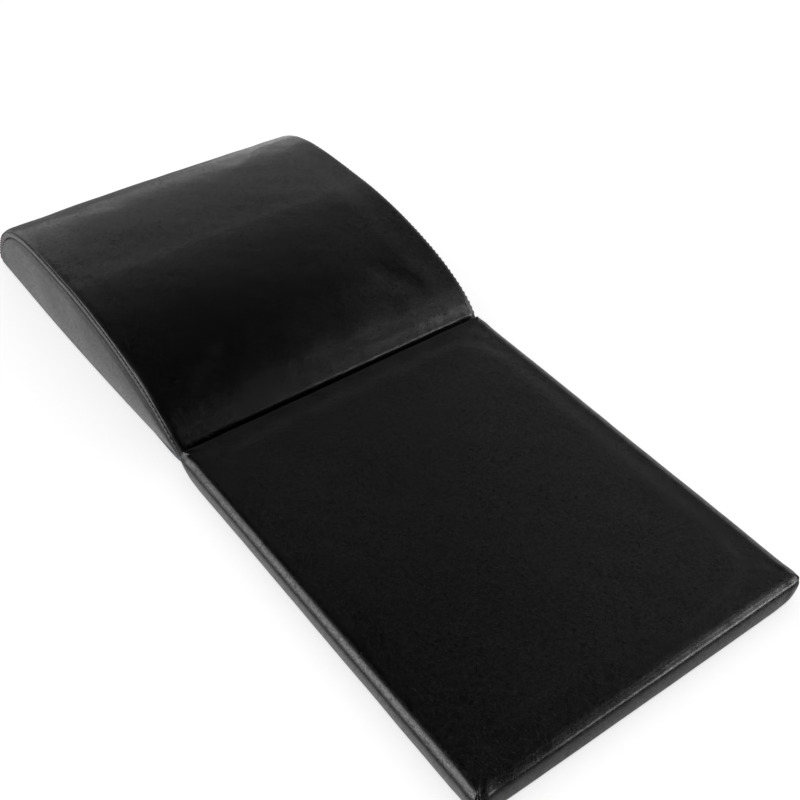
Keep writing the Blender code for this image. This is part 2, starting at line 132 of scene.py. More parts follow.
def finished_mesh(name, points, faces, body, material, uv=None, around=0.0):
    """Piece from points and faces that are already in their place, smooth shaded.

    A layout in metres may be given per point. Where the faces close a ring of points, the
    layout goes on by the ring's length instead of running back to its start.
    """
    mesh = bpy.data.meshes.new(name)
    mesh.from_pydata(points.reshape(-1, 3).tolist(), [], faces)
    mesh.shade_smooth()
    if uv is not None:
        corner = np.zeros(len(mesh.loops), np.int32)
        mesh.loops.foreach_get("vertex_index", corner)
        place = uv.reshape(-1, 2)[corner]
        if around:
            rows, count = points.shape[:2]
            closing = place[:(rows - 1) * count * 4].reshape(rows - 1, count, 4, 2)[:, -1]
            closing[..., 0] += np.where(closing[..., 0] < around / 2, around, 0.0)
        layer = mesh.uv_layers.new(name="flat")
        layer.data.foreach_set("uv", place.astype(np.float32).ravel())
    mesh.materials.append(material)
    piece = bpy.data.objects.new(name, mesh)
    bpy.context.scene.collection.objects.link(piece)
    if body:
        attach(piece, body)
    return piece


def grid_faces(rows, columns, closed=False, inside_out=False):
    """Four-cornered faces of a grid of points; closed joins the last column to the first."""
    row = np.arange(rows - 1)[:, None]
    column = np.arange(columns if closed else columns - 1)[None, :]
    after = (column + 1) % columns
    a = row * columns + column
    b = row * columns + after
    c = (row + 1) * columns + after
    d = (row + 1) * columns + column
    faces = np.stack([a, b, c, d], axis=-1).reshape(-1, 4)
    if inside_out:
        faces = faces[:, ::-1]
    return faces.tolist()


def grid_normals(points, closed=False):
    """Unit normals of a grid: the cross product of its column steps and its row steps."""
    if closed:
        across = np.roll(points, -1, axis=1) - np.roll(points, 1, axis=1)
    else:
        across = np.gradient(points, axis=1)
    along = np.gradient(points, axis=0)
    normal = np.cross(across, along)
    return normal / np.maximum(np.linalg.norm(normal, axis=-1, keepdims=True), 1e-12)


def thicken(piece, thickness):
    """Give a sheet its thickness on the inner side."""
    wall = piece.modifiers.new("thickness", "SOLIDIFY")
    wall.thickness = thickness
    wall.offset = -1.0


def fade(distance, reach):
    """Fall smoothly from 1 at no distance to 0 at the reach and beyond."""
    share = np.clip(distance / reach, 0.0, 1.0)
    return (1.0 - share) ** 2 * (1.0 + 2.0 * share)


def ramp(value, start, end):
    """Smooth step from 0 at the start to 1 at the end."""
    share = np.clip((value - start) / (end - start), 0.0, 1.0)
    return share * share * (3 - 2 * share)


def ripples(points, wavelength, seed, count=14):
    """Uneven surface heights between about -1 and 1: a sum of sine waves whose directions
    and phases are drawn once from the seed, at lengths around the given wavelength."""
    draw = np.random.RandomState(seed)
    height = np.zeros(points.shape[:-1])
    for _ in range(count):
        direction = draw.normal(size=3)
        direction /= np.linalg.norm(direction)
        length = wavelength * draw.uniform(0.7, 1.6)
        phase = draw.uniform(0.0, 2 * math.pi)
        height += np.sin(points @ direction * (2 * math.pi / length) + phase)
    return height / math.sqrt(count / 2)


def folds(place, spacing, seed, low, high):
    """Narrow creases across one coordinate: Gaussian ridges and dips of uneven width,
    height and spacing."""
    draw = np.random.RandomState(seed)
    count = max(int((high - low) / spacing), 1)
    centres = np.linspace(low, high, count) + draw.normal(0.0, spacing * 0.28, count)
    widths = spacing * draw.uniform(0.18, 0.34, count)
    heights = draw.uniform(-1.0, 1.0, count)
    offset = (np.asarray(place)[..., None] - centres) / widths
    return (heights * np.exp(-offset ** 2)).sum(axis=-1)


# The dome's outline


def dome_outline(inset, shares):
    """Places and outward normals on the dome's outline in (y, z), from toe to back.

    Each side of the apex is z = height * (1 - s ** a) ** (1 / b), where s runs from 0 at
    the apex to 1 at the toe or back. A small share of s ** a is s ** sharpness at the toe,
    which squares the nose. The line is moved in by the inset, cut off where the foot's
    rounding begins, and read at these shares of its length. Above its foot the toe is
    stuffed a little further forward.
    """
    turn = np.linspace(0.0, 1.0, 5000) ** 2 * math.pi / 2
    front = APEX_FROM_TOE
    rear = WEDGE_LENGTH - APEX_FROM_TOE
    fall = (1 - NOSE_SHARE) * np.cos(turn) ** TOE_POWERS[0]
    fall = fall + NOSE_SHARE * np.cos(turn) ** NOSE_SHARPNESS
    rise = np.maximum(1.0 - fall, 0.0) ** (1.0 / TOE_POWERS[1])
    back = (1.0 - np.cos(turn) ** BACK_POWERS[0]) ** (1.0 / BACK_POWERS[1])
    line = np.concatenate([
        np.column_stack([TOE_Y + front * (1.0 - np.cos(turn)), WEDGE_HEIGHT * rise]),
        np.column_stack([BACK_Y - rear * (1.0 - np.cos(turn)), WEDGE_HEIGHT * back])[-2::-1],
    ])
    line = line - line_normals(line) * inset
    line = line[line[:, 1] >= HEM_LEVEL + HEM_RADIUS + inset]
    normals = line_normals(line)
    run = np.concatenate([[0.0], np.cumsum(np.hypot(*np.diff(line, axis=0).T))])
    wanted = np.asarray(shares) * run[-1]
    place = np.column_stack([np.interp(wanted, run, line[:, k]) for k in range(2)])
    normal = np.column_stack([np.interp(wanted, run, normals[:, k]) for k in range(2)])
    normal /= np.hypot(*normal.T)[:, None]
    place[:, 0] -= NOSE_FORWARD * fade(wanted, 0.050) * ramp(place[:, 1], 0.005, 0.018)
    return place, normal, wanted


def line_normals(line):
    """Outward unit normals of a line that runs over the dome from toe to back."""
    along = np.gradient(line, axis=0)
    along /= np.maximum(np.hypot(*along.T)[:, None], 1e-12)
    return np.column_stack([-along[:, 1], along[:, 0]])


def wedge_half_width(y, z, side):
    """Half the wedge's width. The left side is drawn in low down at the toe, where the
    cover is tucked, and the right side leans in a little towards its top."""
    tuck = np.clip(1 - (y - TOE_Y) / 0.280, 0, 1) ** 2 * np.clip(1 - z / 0.045, 0, 1) ** 2
    lean = RIGHT_LEAN * np.clip(z / 0.050, 0, 1) * (side > 0)
    uneven = 0.00045 * side - 0.00015
    return WEDGE_WIDTH / 2 + uneven - TOE_TUCK * (side < 0) * tuck - lean


# Soft covers settled by simulation


def settle(points, limit):
    """Let a coarse piece of cover, held all round its border, settle as slightly loose cloth
    under air pressure. Returns how far each point moves, which is never beyond the limit."""
    rows, columns = points.shape[:2]
    held = np.ones((rows, columns), bool)
    held[1:-1, 1:-1] = False
    mesh = bpy.data.meshes.new("loose_cover")
    mesh.from_pydata(points.reshape(-1, 3).tolist(), [], grid_faces(rows, columns))
    cover = bpy.data.objects.new("loose_cover", mesh)
    bpy.context.scene.collection.objects.link(cover)
    group = cover.vertex_groups.new(name="held")
    group.add(np.flatnonzero(held.ravel()).tolist(), 1.0, "REPLACE")
    cloth = cover.modifiers.new("cloth", "CLOTH")
    cloth.settings.quality = 6
    cloth.settings.mass = 0.25
    cloth.settings.tension_stiffness = 18.0
    cloth.settings.compression_stiffness = 12.0
    cloth.settings.shear_stiffness = 6.0
    cloth.settings.bending_stiffness = 0.35
    cloth.settings.use_pressure = True
    cloth.settings.uniform_pressure_force = 1.5
    cloth.settings.shrink_min = -0.005
    cloth.settings.vertex_group_mass = "held"
    cloth.settings.effector_weights.gravity = 0.0
    cloth.collision_settings.use_collision = False
    cloth.collision_settings.use_self_collision = False
    last_frame = 20
    cloth.point_cache.frame_start = 1
    cloth.point_cache.frame_end = last_frame
    scene = bpy.context.scene
    for step in range(1, last_frame + 1):
        scene.frame_set(step)
    settled = cover.evaluated_get(bpy.context.evaluated_depsgraph_get()).to_mesh()
    place = np.zeros(rows * columns * 3, np.float32)
    settled.vertices.foreach_get("co", place)
    scene.frame_set(1)
    bpy.data.objects.remove(cover, do_unlink=True)
    moved = place.reshape(points.shape).astype(float) - points
    size = np.linalg.norm(moved, axis=-1, keepdims=True)
    return moved * np.tanh(size / limit) * limit / np.maximum(size, 1e-9)


def smooth_read(values, row, column):
    """Read a grid of values at fractional rows and columns with cubic B-splines, which even
    out what differs from one point to the next."""
    total = 0.0
    weights, starts = [], []
    for place in (row, column):
        start = np.floor(place)
        t = place - start
        weights.append((
            (1 - t) ** 3 / 6, (3 * t ** 3 - 6 * t ** 2 + 4) / 6,
            (-3 * t ** 3 + 3 * t ** 2 + 3 * t + 1) / 6, t ** 3 / 6))
        starts.append(start.astype(int) - 1)
    for i in range(4):
        rows = np.clip(starts[0] + i, 0, values.shape[0] - 1)
        for j in range(4):
            columns = np.clip(starts[1] + j, 0, values.shape[1] - 1)
            total = total + (weights[0][i] * weights[1][j])[..., None] * values[rows, columns]
    return total


# Materials


def new_material(name):
    """Material with its Principled shader, node tree and Object coordinates."""
    material = bpy.data.materials.new(name)
    material.use_nodes = True
    tree = material.node_tree
    shader = tree.nodes["Principled BSDF"]
    place = tree.nodes.new("ShaderNodeTexCoord").outputs["Object"]
    return material, tree, shader, place


def place_group(tree, group, **values):
    """Put a shader group into a tree with these values on its inputs."""
    node = tree.nodes.new("ShaderNodeGroup")
    node.node_tree = group
    for name, value in values.items():
        socket = node.inputs[name]
        if isinstance(value, bpy.types.NodeSocket):
            tree.links.new(value, socket)
        else:
            socket.default_value = value
    return node


def new_group(name, inputs, outputs):
    """Shader group with named inputs (type, start value) and outputs (type)."""
    group = bpy.data.node_groups.new(name, "ShaderNodeTree")
    for label, (kind, value) in inputs.items():
        socket = group.interface.new_socket(label, in_out="INPUT", socket_type=kind)
        if value is not None:
            socket.default_value = value
    for label, kind in outputs.items():
        group.interface.new_socket(label, in_out="OUTPUT", socket_type=kind)
    return group, group.nodes.new("NodeGroupInput"), group.nodes.new("NodeGroupOutput")


def maths(tree, operation, first, second=0.5, third=None, clamp=False):
    """Math node with each input linked or set."""
    node = tree.nodes.new("ShaderNodeMath")
    node.operation = operation
    node.use_clamp = clamp
    for socket, value in zip(node.inputs, (first, second, third)):
        if isinstance(value, bpy.types.NodeSocket):
            tree.links.new(value, socket)
        elif value is not None:
            socket.default_value = value
    return node.outputs[0]


def noise(tree, place, scale, detail=4.0, roughness=0.55, distortion=0.0):
    """Noise texture at a scale in cycles per metre."""
    node = tree.nodes.new("ShaderNodeTexNoise")
    tree.links.new(place, node.inputs["Vector"])
    if isinstance(scale, bpy.types.NodeSocket):
        tree.links.new(scale, node.inputs["Scale"])
    else:
        node.inputs["Scale"].default_value = scale
    node.inputs["Detail"].default_value = detail
    node.inputs["Roughness"].default_value = roughness
    node.inputs["Distortion"].default_value = distortion
    return node.outputs["Fac"]


def spread(tree, value, low, high, new_low, new_high):
    """Map a value's range onto another."""
    node = tree.nodes.new("ShaderNodeMapRange")
    tree.links.new(value, node.inputs["Value"])
    for name, number in (
            ("From Min", low), ("From Max", high), ("To Min", new_low), ("To Max", new_high)):
        if isinstance(number, bpy.types.NodeSocket):
            tree.links.new(number, node.inputs[name])
        else:
            node.inputs[name].default_value = number
    return node.outputs["Result"]


def bump(tree, shader, height, depth):
    """Feed a height, times its depth in metres, into the shader's normal."""
    node = tree.nodes.new("ShaderNodeBump")
    node.inputs["Strength"].default_value = 1.0
    node.inputs["Distance"].default_value = depth
    tree.links.new(height, node.inputs["Height"])
    tree.links.new(node.outputs["Normal"], shader.inputs["Normal"])


def colour_between(tree, shader, share, dark, light):
    """Run the shader's colour from the dark tone to the light one as the share goes 0 to 1."""
    tone = tree.nodes.new("ShaderNodeMix")
    tone.data_type = "RGBA"
    tree.links.new(share, tone.inputs["Factor"])
    tone.inputs["A"].default_value = (*dark, 1.0)
    tone.inputs["B"].default_value = (*light, 1.0)
    tree.links.new(tone.outputs["Result"], shader.inputs["Base Color"])


def kept_value(tree, name):
    """Value that mark_points keeps on the piece under this name."""
    node = tree.nodes.new("ShaderNodeAttribute")
    node.attribute_name = name
    return node.outputs["Fac"]


def flat_layout(tree):
    """The piece's own flat layout, in metres."""
    node = tree.nodes.new("ShaderNodeUVMap")
    node.uv_map = "flat"
    return node.outputs["UV"]


def make_grain_group():
    """Pressed leather grain: rounded pebbles between fine furrows, over slow unevenness.

    Height is the pebbles' relief, Furrow is 1 in the furrows, and Cloud drifts slowly.
    """
    group, given, result = new_group(
        "leather_grain",
        {"Place": ("NodeSocketVector", None), "Pebbles": ("NodeSocketFloat", 800.0)},
        {"Height": "NodeSocketFloat", "Furrow": "NodeSocketFloat", "Cloud": "NodeSocketFloat"})
    place = given.outputs["Place"]
    size = given.outputs["Pebbles"]
    bend = group.nodes.new("ShaderNodeTexNoise")
    group.links.new(place, bend.inputs["Vector"])
    bend.inputs["Scale"].default_value = 260.0
    bend.inputs["Detail"].default_value = 2.0
    shift = group.nodes.new("ShaderNodeVectorMath")
    shift.operation = "MULTIPLY_ADD"
    group.links.new(bend.outputs["Color"], shift.inputs[0])
    shift.inputs[1].default_value = (0.0011, 0.0011, 0.0011)
    group.links.new(place, shift.inputs[2])
    cells = group.nodes.new("ShaderNodeTexVoronoi")
    cells.feature = "DISTANCE_TO_EDGE"
    group.links.new(shift.outputs[0], cells.inputs["Vector"])
    group.links.new(size, cells.inputs["Scale"])
    furrow = spread(group, cells.outputs["Distance"], 0.0, 0.16, 1.0, 0.0)
    fine = noise(group, place, maths(group, "MULTIPLY", size, 1.9), 2.0, 0.5)
    wide = noise(group, place, maths(group, "MULTIPLY", size, 0.45), 2.0, 0.5)
    height = maths(group, "MULTIPLY", furrow, -0.55)
    height = maths(group, "MULTIPLY_ADD", fine, 0.45, height)
    height = maths(group, "MULTIPLY_ADD", wide, 0.6, height)
    group.links.new(height, result.inputs["Height"])
    group.links.new(furrow, result.inputs["Furrow"])
    cloud = noise(group, place, maths(group, "MULTIPLY", size, 0.03), 5.0, 0.62, 0.4)
    group.links.new(cloud, result.inputs["Cloud"])
    return group


def make_weave_group():
    """Plain weave from two crossed sets of threads on a flat layout in metres.

    Height is the threads' relief where they pass over and under, and Shade varies from
    thread to thread.
    """
    group, given, result = new_group(
        "plain_weave",
        {"Place": ("NodeSocketVector", None), "Threads": ("NodeSocketFloat", 1400.0)},
        {"Height": "NodeSocketFloat", "Shade": "NodeSocketFloat"})
    parts = group.nodes.new("ShaderNodeSeparateXYZ")
    group.links.new(given.outputs["Place"], parts.inputs[0])
    turn = maths(group, "MULTIPLY", given.outputs["Threads"], math.pi)
    across = maths(group, "MULTIPLY", parts.outputs["X"], turn)
    along = maths(group, "MULTIPLY", parts.outputs["Y"], turn)
    warp = maths(group, "ABSOLUTE", maths(group, "SINE", across))
    weft = maths(group, "ABSOLUTE", maths(group, "SINE", along))
    check = maths(group, "MULTIPLY", maths(group, "SINE", across), maths(group, "SINE", along))
    over = maths(group, "MULTIPLY_ADD", check, 0.5, 0.5)
    first = maths(group, "MULTIPLY", warp, over)
    second = maths(group, "MULTIPLY", weft, maths(group, "SUBTRACT", 1.0, over))
    group.links.new(maths(group, "MAXIMUM", first, second), result.inputs["Height"])
    shade = noise(group, given.outputs["Place"], given.outputs["Threads"], 2.0)
    group.links.new(shade, result.inputs["Shade"])
    return group


def make_crease_group():
    """Fine creases that run across the layout's first direction: noise drawn out long."""
    group, given, result = new_group(
        "fine_creases", {"Place": ("NodeSocketVector", None), "Spacing": ("NodeSocketFloat", 1.0)},
        {"Height": "NodeSocketFloat"})
    pull = group.nodes.new("ShaderNodeVectorMath")
    pull.operation = "MULTIPLY"
    group.links.new(given.outputs["Place"], pull.inputs[0])
    pull.inputs[1].default_value = (560.0, 45.0, 1.0)
    size = group.nodes.new("ShaderNodeVectorMath")
    size.operation = "SCALE"
    group.links.new(pull.outputs[0], size.inputs[0])
    group.links.new(given.outputs["Spacing"], size.inputs["Scale"])
    height = noise(group, size.outputs[0], 1.0, 3.0, 0.6, 0.3)
    group.links.new(height, result.inputs["Height"])
    return group


def make_leather(name, pebbles, depth, roughness):
    """Black leather cloth: a dark tone that drifts, and grain relief. The colour is lighter on the
    pebble tops and darker in the furrows, partly dust and partly painted sheen and shade. Its glossy
    top layer is thick on the pebbles, thin in the furrows and missing in sunk places, such as seams.
    Ridges rubbed by folding and sitting are a little smoother and more polished, and
    stretched places are finely creased."""
    material, tree, shader, place = new_material(name)
    grain = place_group(tree, grain_group, Place=place, Pebbles=pebbles)
    relief = grain.outputs["Height"]
    cloud = grain.outputs["Cloud"]
    rubbed = kept_value(tree, "rubbed")
    sunk = kept_value(tree, "sunk")
    creased = kept_value(tree, "creased")
    # Colour lighter on the pebble tops and darker in the furrows: partly dust, partly painted sheen and
    # painted shade.
    dust_and_painted_sheen = maths(tree, "MULTIPLY", maths(tree, "MULTIPLY_ADD", relief, 1.5, 0.1), cloud)
    colour_between(tree, shader, dust_and_painted_sheen, (0.0003, 0.0003, 0.0004), (0.0044, 0.0041, 0.0042))
    rough = spread(tree, cloud, 0.25, 0.75, roughness - 0.035, roughness + 0.04)
    rough = maths(tree, "MULTIPLY_ADD", grain.outputs["Furrow"], 0.07, rough)
    rough = maths(tree, "MULTIPLY_ADD", rubbed, -0.04, rough)
    rough = maths(tree, "MULTIPLY_ADD", sunk, 0.55, rough)
    tree.links.new(rough, shader.inputs["Roughness"])
    shader.inputs["IOR"].default_value = 1.5
    shader.inputs["Specular IOR Level"].default_value = 0.20
    shader.inputs["Coat IOR"].default_value = 1.6
    shader.inputs["Coat Roughness"].default_value = roughness + 0.02
    shine = spread(tree, relief, -0.10, 0.75, 0.0, 1.0)
    raised = maths(tree, "SUBTRACT", 1.0, sunk, clamp=True)
    tree.links.new(maths(tree, "MULTIPLY", shine, raised), shader.inputs["Coat Weight"])
    crease = place_group(tree, crease_group, Place=flat_layout(tree), Spacing=1.0)
    deeper = maths(tree, "MULTIPLY_ADD", creased, 0.9, 1.0)
    deeper = maths(tree, "MULTIPLY_ADD", rubbed, -0.6, deeper)
    height = maths(tree, "MULTIPLY", deeper, relief)
    height = maths(tree, "MULTIPLY_ADD", creased, crease.outputs["Height"], height)
    bump(tree, shader, height, depth)
    return material


def make_foam_material():
    """Grey closed-cell foam: fine cell walls seen where the block was cut."""
    material, tree, shader, place = new_material("grey_dense_foam")
    cells = tree.nodes.new("ShaderNodeTexVoronoi")
    tree.links.new(place, cells.inputs["Vector"])
    cells.inputs["Scale"].default_value = 1100.0
    colour_between(
        tree, shader, cells.outputs["Distance"], (0.20, 0.21, 0.23), (0.34, 0.35, 0.37))
    shader.inputs["Roughness"].default_value = 0.95
    bump(tree, shader, cells.outputs["Distance"], 0.0004)
    return material


def make_cloth_material(name, threads, light, dark, roughness):
    """Woven cloth on the piece's own flat layout, its tone varying from thread to thread. The raised
    threads are a little lighter and the hollows between them darker, which is painted light and shade.
    """
    material, tree, shader, _ = new_material(name)
    weave = place_group(tree, weave_group, Place=flat_layout(tree), Threads=threads)
    # Painted light and shade: colour lighter on the raised threads and darker between them, with tone that
    # varies from thread to thread.
    share = maths(tree, "MULTIPLY", weave.outputs["Height"], weave.outputs["Shade"])
    colour_between(tree, shader, share, dark, light)
    rough = spread(tree, weave.outputs["Shade"], 0.3, 0.7, roughness - 0.06, roughness + 0.06)
    tree.links.new(rough, shader.inputs["Roughness"])
    shader.inputs["Sheen Weight"].default_value = 0.15
    bump(tree, shader, weave.outputs["Height"], 0.0002)
    return material


def make_thread_material():
    """Bonded black sewing thread: slanting strands on a layout that runs along each stitch. Its grey
    tone, lighter on each strand's crest, is painted sheen.
    """
    material, tree, shader, place = new_material("sewing_thread")
    parts = tree.nodes.new("ShaderNodeSeparateXYZ")
    tree.links.new(flat_layout(tree), parts.inputs[0])
    slant = maths(tree, "MULTIPLY", parts.outputs["X"], 6000.0)
    slant = maths(tree, "MULTIPLY_ADD", parts.outputs["Y"], 2 * math.pi, slant)
    strand_relief_and_sheen = maths(tree, "ABSOLUTE", maths(tree, "SINE", slant))
    # Grey tone, lighter on each strand's crest: painted sheen of a black thread.
    colour_between(tree, shader, strand_relief_and_sheen, (0.080, 0.080, 0.082), (0.240, 0.240, 0.246))
    fuzz = noise(tree, place, 2500.0)
    tree.links.new(spread(tree, fuzz, 0.3, 0.7, 0.35, 0.5), shader.inputs["Roughness"])
    bump(tree, shader, strand_relief_and_sheen, 0.00012)
    return material


def make_rubber_material():
    """Rubber of the grip dots: near black, dusty where it has touched the floor."""
    material, tree, shader, place = new_material("grip_rubber")
    dust = noise(tree, place, 90.0, 6.0, 0.65)
    dusty = spread(tree, dust, 0.45, 0.75, 0.0, 1.0)
    colour_between(tree, shader, dusty, (0.012, 0.012, 0.012), (0.040, 0.038, 0.036))
    tree.links.new(spread(tree, dust, 0.3, 0.7, 0.55, 0.8), shader.inputs["Roughness"])
    bump(tree, shader, noise(tree, place, 1500.0), 0.0001)
    return material


# Wedge


def mark_points(piece, name, values):
    """Keep a value per point as an attribute that the leather reads."""
    layer = piece.data.attributes.new(name, "FLOAT", "POINT")
    layer.data.foreach_set("value", np.clip(values, 0, 1).astype(np.float32).ravel())


def wedge_rim(from_toe, side):
    """The side edge's rim at these distances from the toe: how far in and how far down."""
    near = fade(from_toe, 0.075)[:, None]
    side = np.atleast_1d(side)[None, :]
    rim = []
    for part in range(2):
        plain = np.where(side < 0, WEDGE_RIM[-1][part], WEDGE_RIM[1][part])
        at_toe = np.where(side < 0, WEDGE_RIM_AT_TOE[-1][part], WEDGE_RIM_AT_TOE[1][part])
        rim.append(plain + (at_toe - plain) * near)
    return rim


def wedge_section(from_toe, lip_steps, rim_steps, top_steps):
    """Section over the wedge from its left lip to its right, for each row: side, distance
    in from the edge and depth below the outline. The lip leans in towards its bottom, a
    quarter ellipse makes the rim, and the top between the rims is crowned."""
    drop = np.linspace(1.0, 0.0, lip_steps, endpoint=False)[None, :]
    turn = np.linspace(0.0, math.pi / 2, rim_steps, endpoint=False)[None, :]
    share = np.linspace(0.0, 1.0, top_steps // 2 + 1)[None, :]
    halves = []
    for side in (-1, 1):
        reach, down = wedge_rim(from_toe, side)
        inwards = np.concatenate([
            LIP_LEAN * drop + 0 * down,
            reach * (1 - np.cos(turn)),
            reach + (WEDGE_WIDTH / 2 - reach) * share], axis=1)
        depth = np.concatenate([
            down + (LIP_BOTTOM - down) * drop,
            down * (1 - np.sin(turn)),
            -WEDGE_CROWN * (1 - (1 - share) ** 2) + 0 * down], axis=1)
        halves.append((inwards, depth))
    side = np.ones(2 * halves[0][0].shape[1] - 1)
    side[:halves[0][0].shape[1]] = -1.0
    joined = [
        np.concatenate([left, right[:, -2::-1]], axis=1) for left, right in zip(*halves)]
    return side, *joined


def hem_path(count):
    """A hem's rows from its free edge to the foot of the upright face: distance in from the
    face and height, flat and then a quarter round."""
    flat = np.linspace(HEM_WIDTH, HEM_RADIUS, count)
    turn = np.linspace(0.0, math.pi / 2, count + 1)[1:-1]
    under = np.concatenate([flat, HEM_RADIUS * (1 - np.sin(turn))])
    height = np.concatenate([np.full(count, HEM_LEVEL), HEM_LEVEL + HEM_RADIUS * (1 - np.cos(turn))])
    return under, height


def wedge_cover_grid(rows, steps, hem_steps):
    """Grid of the wedge's top cover: the section carried over the dome's outline, with the
    mitred hems at both ends. Rows run from toe to back, columns from left to right."""
    place, normal, run = dome_outline(0.0, np.linspace(0.0, 1.0, rows))
    side, inwards, depth = wedge_section(run, *steps)
    half = wedge_half_width(place[:, :1], place[:, 1:], side)
    deep = np.where(depth < 0, depth * np.maximum(normal[:, 1:], 0.0), depth)
    body = np.stack([
        side * np.maximum(half - inwards, 0.0),
        place[:, :1] - normal[:, :1] * deep,
        place[:, 1:] - normal[:, 1:] * deep], axis=-1)
    under, height = hem_path(hem_steps)
    hems = []
    for edge, way, row in ((TOE_Y, 1.0, 0), (BACK_Y, -1.0, -1)):
        share = np.clip(1 - body[row, :, 0] * side / half[row], 0, 1)
        y = edge + way * under
        width = wedge_half_width(y[:, None], height[:, None], side)
        x = side * (width - np.maximum(under, HEM_RADIUS)[:, None] * 1.02) * (1 - share)
        hems.append(np.stack([x, *np.broadcast_arrays(y[:, None], height[:, None], x)[:2]], axis=-1))
    points = np.concatenate([hems[0], body, hems[1][::-1]])
    edges = len(under)
    return points, slice(edges, edges + rows), run, side, inwards, depth


def stitch_groove(from_toe, side, inwards, depth, width):
    """1 on the stitch line of the wedge's rim, falling off beside it as a bell curve."""
    reach, down = wedge_rim(from_toe, side)
    from_stitch = np.hypot(
        inwards - reach * (1 - math.cos(STITCH_TURN)), depth - down * (1 - math.sin(STITCH_TURN)))
    return np.exp(-(from_stitch / width) ** 2)


def wedge_relief(points, from_toe, side, inwards, depth):
    """How far the top cover's surface stands out from its plain form.

    The stitch line lies in a groove, deeper towards the back, and dimples the leather beside
    it. Fabric gathers at the toe's corners in folds that fan out, and bunches at the left
    one. The rest is slightly uneven.
    """
    total = from_toe.max()
    along = from_toe[:, None]
    groove = stitch_groove(from_toe, side, inwards, depth, GROOVE_WIDTH)
    deeper = 1 + 1.1 * ramp(along, total - 0.120, total - 0.040)
    near_stitch = stitch_groove(from_toe, side, inwards, depth, 0.006)
    spacing = 0.0052
    pucker = np.where(
        side < 0, folds(from_toe, spacing, 11, 0.0, total)[:, None],
        folds(from_toe, spacing, 12, 0.0, total)[:, None])
    corner = fade(np.hypot(along, inwards * 1.1), 0.040)
    angle = np.arctan2(along + 0.003, inwards + 0.003)
    fan = np.sin(angle * 24.0 + 1.3 * np.sin(angle * 7.0 + side[None, :]))
    at_left_corner = np.exp(-((along - 0.009) / 0.011) ** 2 - ((inwards - 0.0045) / 0.0055) ** 2)
    bunch = 0.0011 + 0.0003 * np.sin(along * 1400.0 + inwards * 500.0)
    nose = np.exp(-((along - 0.024) / 0.012) ** 2)
    across = folds(points[..., 0], 0.012, 21, -WEDGE_WIDTH / 2, WEDGE_WIDTH / 2)
    waves = folds(along + 0.003 * np.sin(points[..., 0] * 25.0), 0.014, 31, 0.0, total)
    return (
        -GROOVE_DEPTH * groove * deeper
        + (0.00010 + 0.00028 * fade(along, 0.060)) * near_stitch * pucker
        + 0.00042 * corner * fan
        + at_left_corner * (side < 0) * bunch
        + 0.00004 * nose * across
        + 0.00003 * waves
        + 0.00011 * ripples(points, 0.080, 41)
        + 0.00003 * ripples(points, 0.024, 42))


def make_wedge_cover():
    """One sheet of leather cloth over toe, dome and back, with its lips and hems."""
    points, body, from_toe, side, inwards, depth = wedge_cover_grid(292, (6, 20, 104), 6)
    first = 30
    coarse = 4
    moved = settle(points[body, first:-first][::coarse, ::coarse], SETTLE_LIMIT)
    row, column = np.indices(points[body].shape[:2])
    moved = smooth_read(moved, row / coarse, (column - first) / coarse)
    free = ramp(inwards, 0.012, 0.040) * ramp(from_toe[:, None], 0.030, 0.070)
    free = free * ramp(from_toe.max() - from_toe[:, None], 0.015, 0.060)
    points[body] += moved * free[..., None]
    normal = grid_normals(points)
    relief = np.zeros(points.shape[:2])
    relief[body] = wedge_relief(points[body], from_toe, side, inwards, depth)
    points = points + normal * relief[..., None]
    along = np.zeros(points.shape[0])
    along[body] = from_toe
    flat = np.stack(np.broadcast_arrays(along[:, None], points[..., 0]), axis=-1)
    faces = grid_faces(*points.shape[:2])
    cover = finished_mesh("wedge_cover", points, faces, "wedge", leather, uv=flat)
    edge = np.zeros(points.shape[:2])
    edge[body] = np.exp(-((inwards - 0.001) / 0.004) ** 2)
    crease = np.zeros(points.shape[:2])
    crease[body] = 0.55 * np.exp(-((from_toe[:, None] - 0.028) / 0.018) ** 2) + 0.12
    sunk = np.zeros(points.shape[:2])
    sunk[body] = stitch_groove(from_toe, side, inwards, depth, GROOVE_WIDTH)
    mark_points(cover, "rubbed", edge)
    mark_points(cover, "creased", crease)
    mark_points(cover, "sunk", sunk)
    thicken(cover, COVER_THICKNESS)
    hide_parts("wedge_top_cover")


def side_panel_grid(side, rows, levels, hem_steps):
    """Grid of one side panel: each row rolls out from the seam under the lip, goes straight
    down to the foot, swelling as half a sine wave, and then turns under. Beside the seam it
    is drawn in, as a bell curve of the distance below it. Also the seam, that distance, and
    where along the seam it is drawn in."""
    foot = HEM_LEVEL + HEM_RADIUS
    place, _, _ = dome_outline(LIP_BOTTOM + 0.0003, np.linspace(0.0, 1.0, rows))
    feet = np.linspace(place[0, 0], place[-1, 0], rows)[:, None]
    share = np.linspace(0.0, 1.0, levels)[None, :] ** 1.5
    y = place[:, :1] + (feet - place[:, :1]) * share
    z = place[:, 1:] + (foot - place[:, 1:]) * share
    tall = (place[:, 1:] - foot) / WEDGE_HEIGHT
    below_seam = np.hypot(y - place[:, :1], z - place[:, 1:])
    drawn_in = ramp(BACK_Y - place[:, :1], 0.004, 0.060)
    dip = SEAM_DIP * drawn_in * np.exp(-(below_seam / 0.0040) ** 1.5)
    x = wedge_half_width(y, z, side) + PANEL_SWELL * tall * np.sin(math.pi * share) - dip
    under, height = hem_path(hem_steps)
    under = under[::-1][None, :]
    height = height[::-1][None, :]
    room = np.minimum(feet - TOE_Y, BACK_Y - feet)
    reach = np.minimum(under, np.maximum(room, HEM_RADIUS * 0.5))
    hem_x = wedge_half_width(feet, HEM_LEVEL, side) - reach
    hem = np.stack(np.broadcast_arrays(hem_x, feet, height), axis=-1)
    points = np.concatenate([np.stack([x, y, z], axis=-1), hem], axis=1)
    points[..., 0] *= side
    return points, place, below_seam, drawn_in


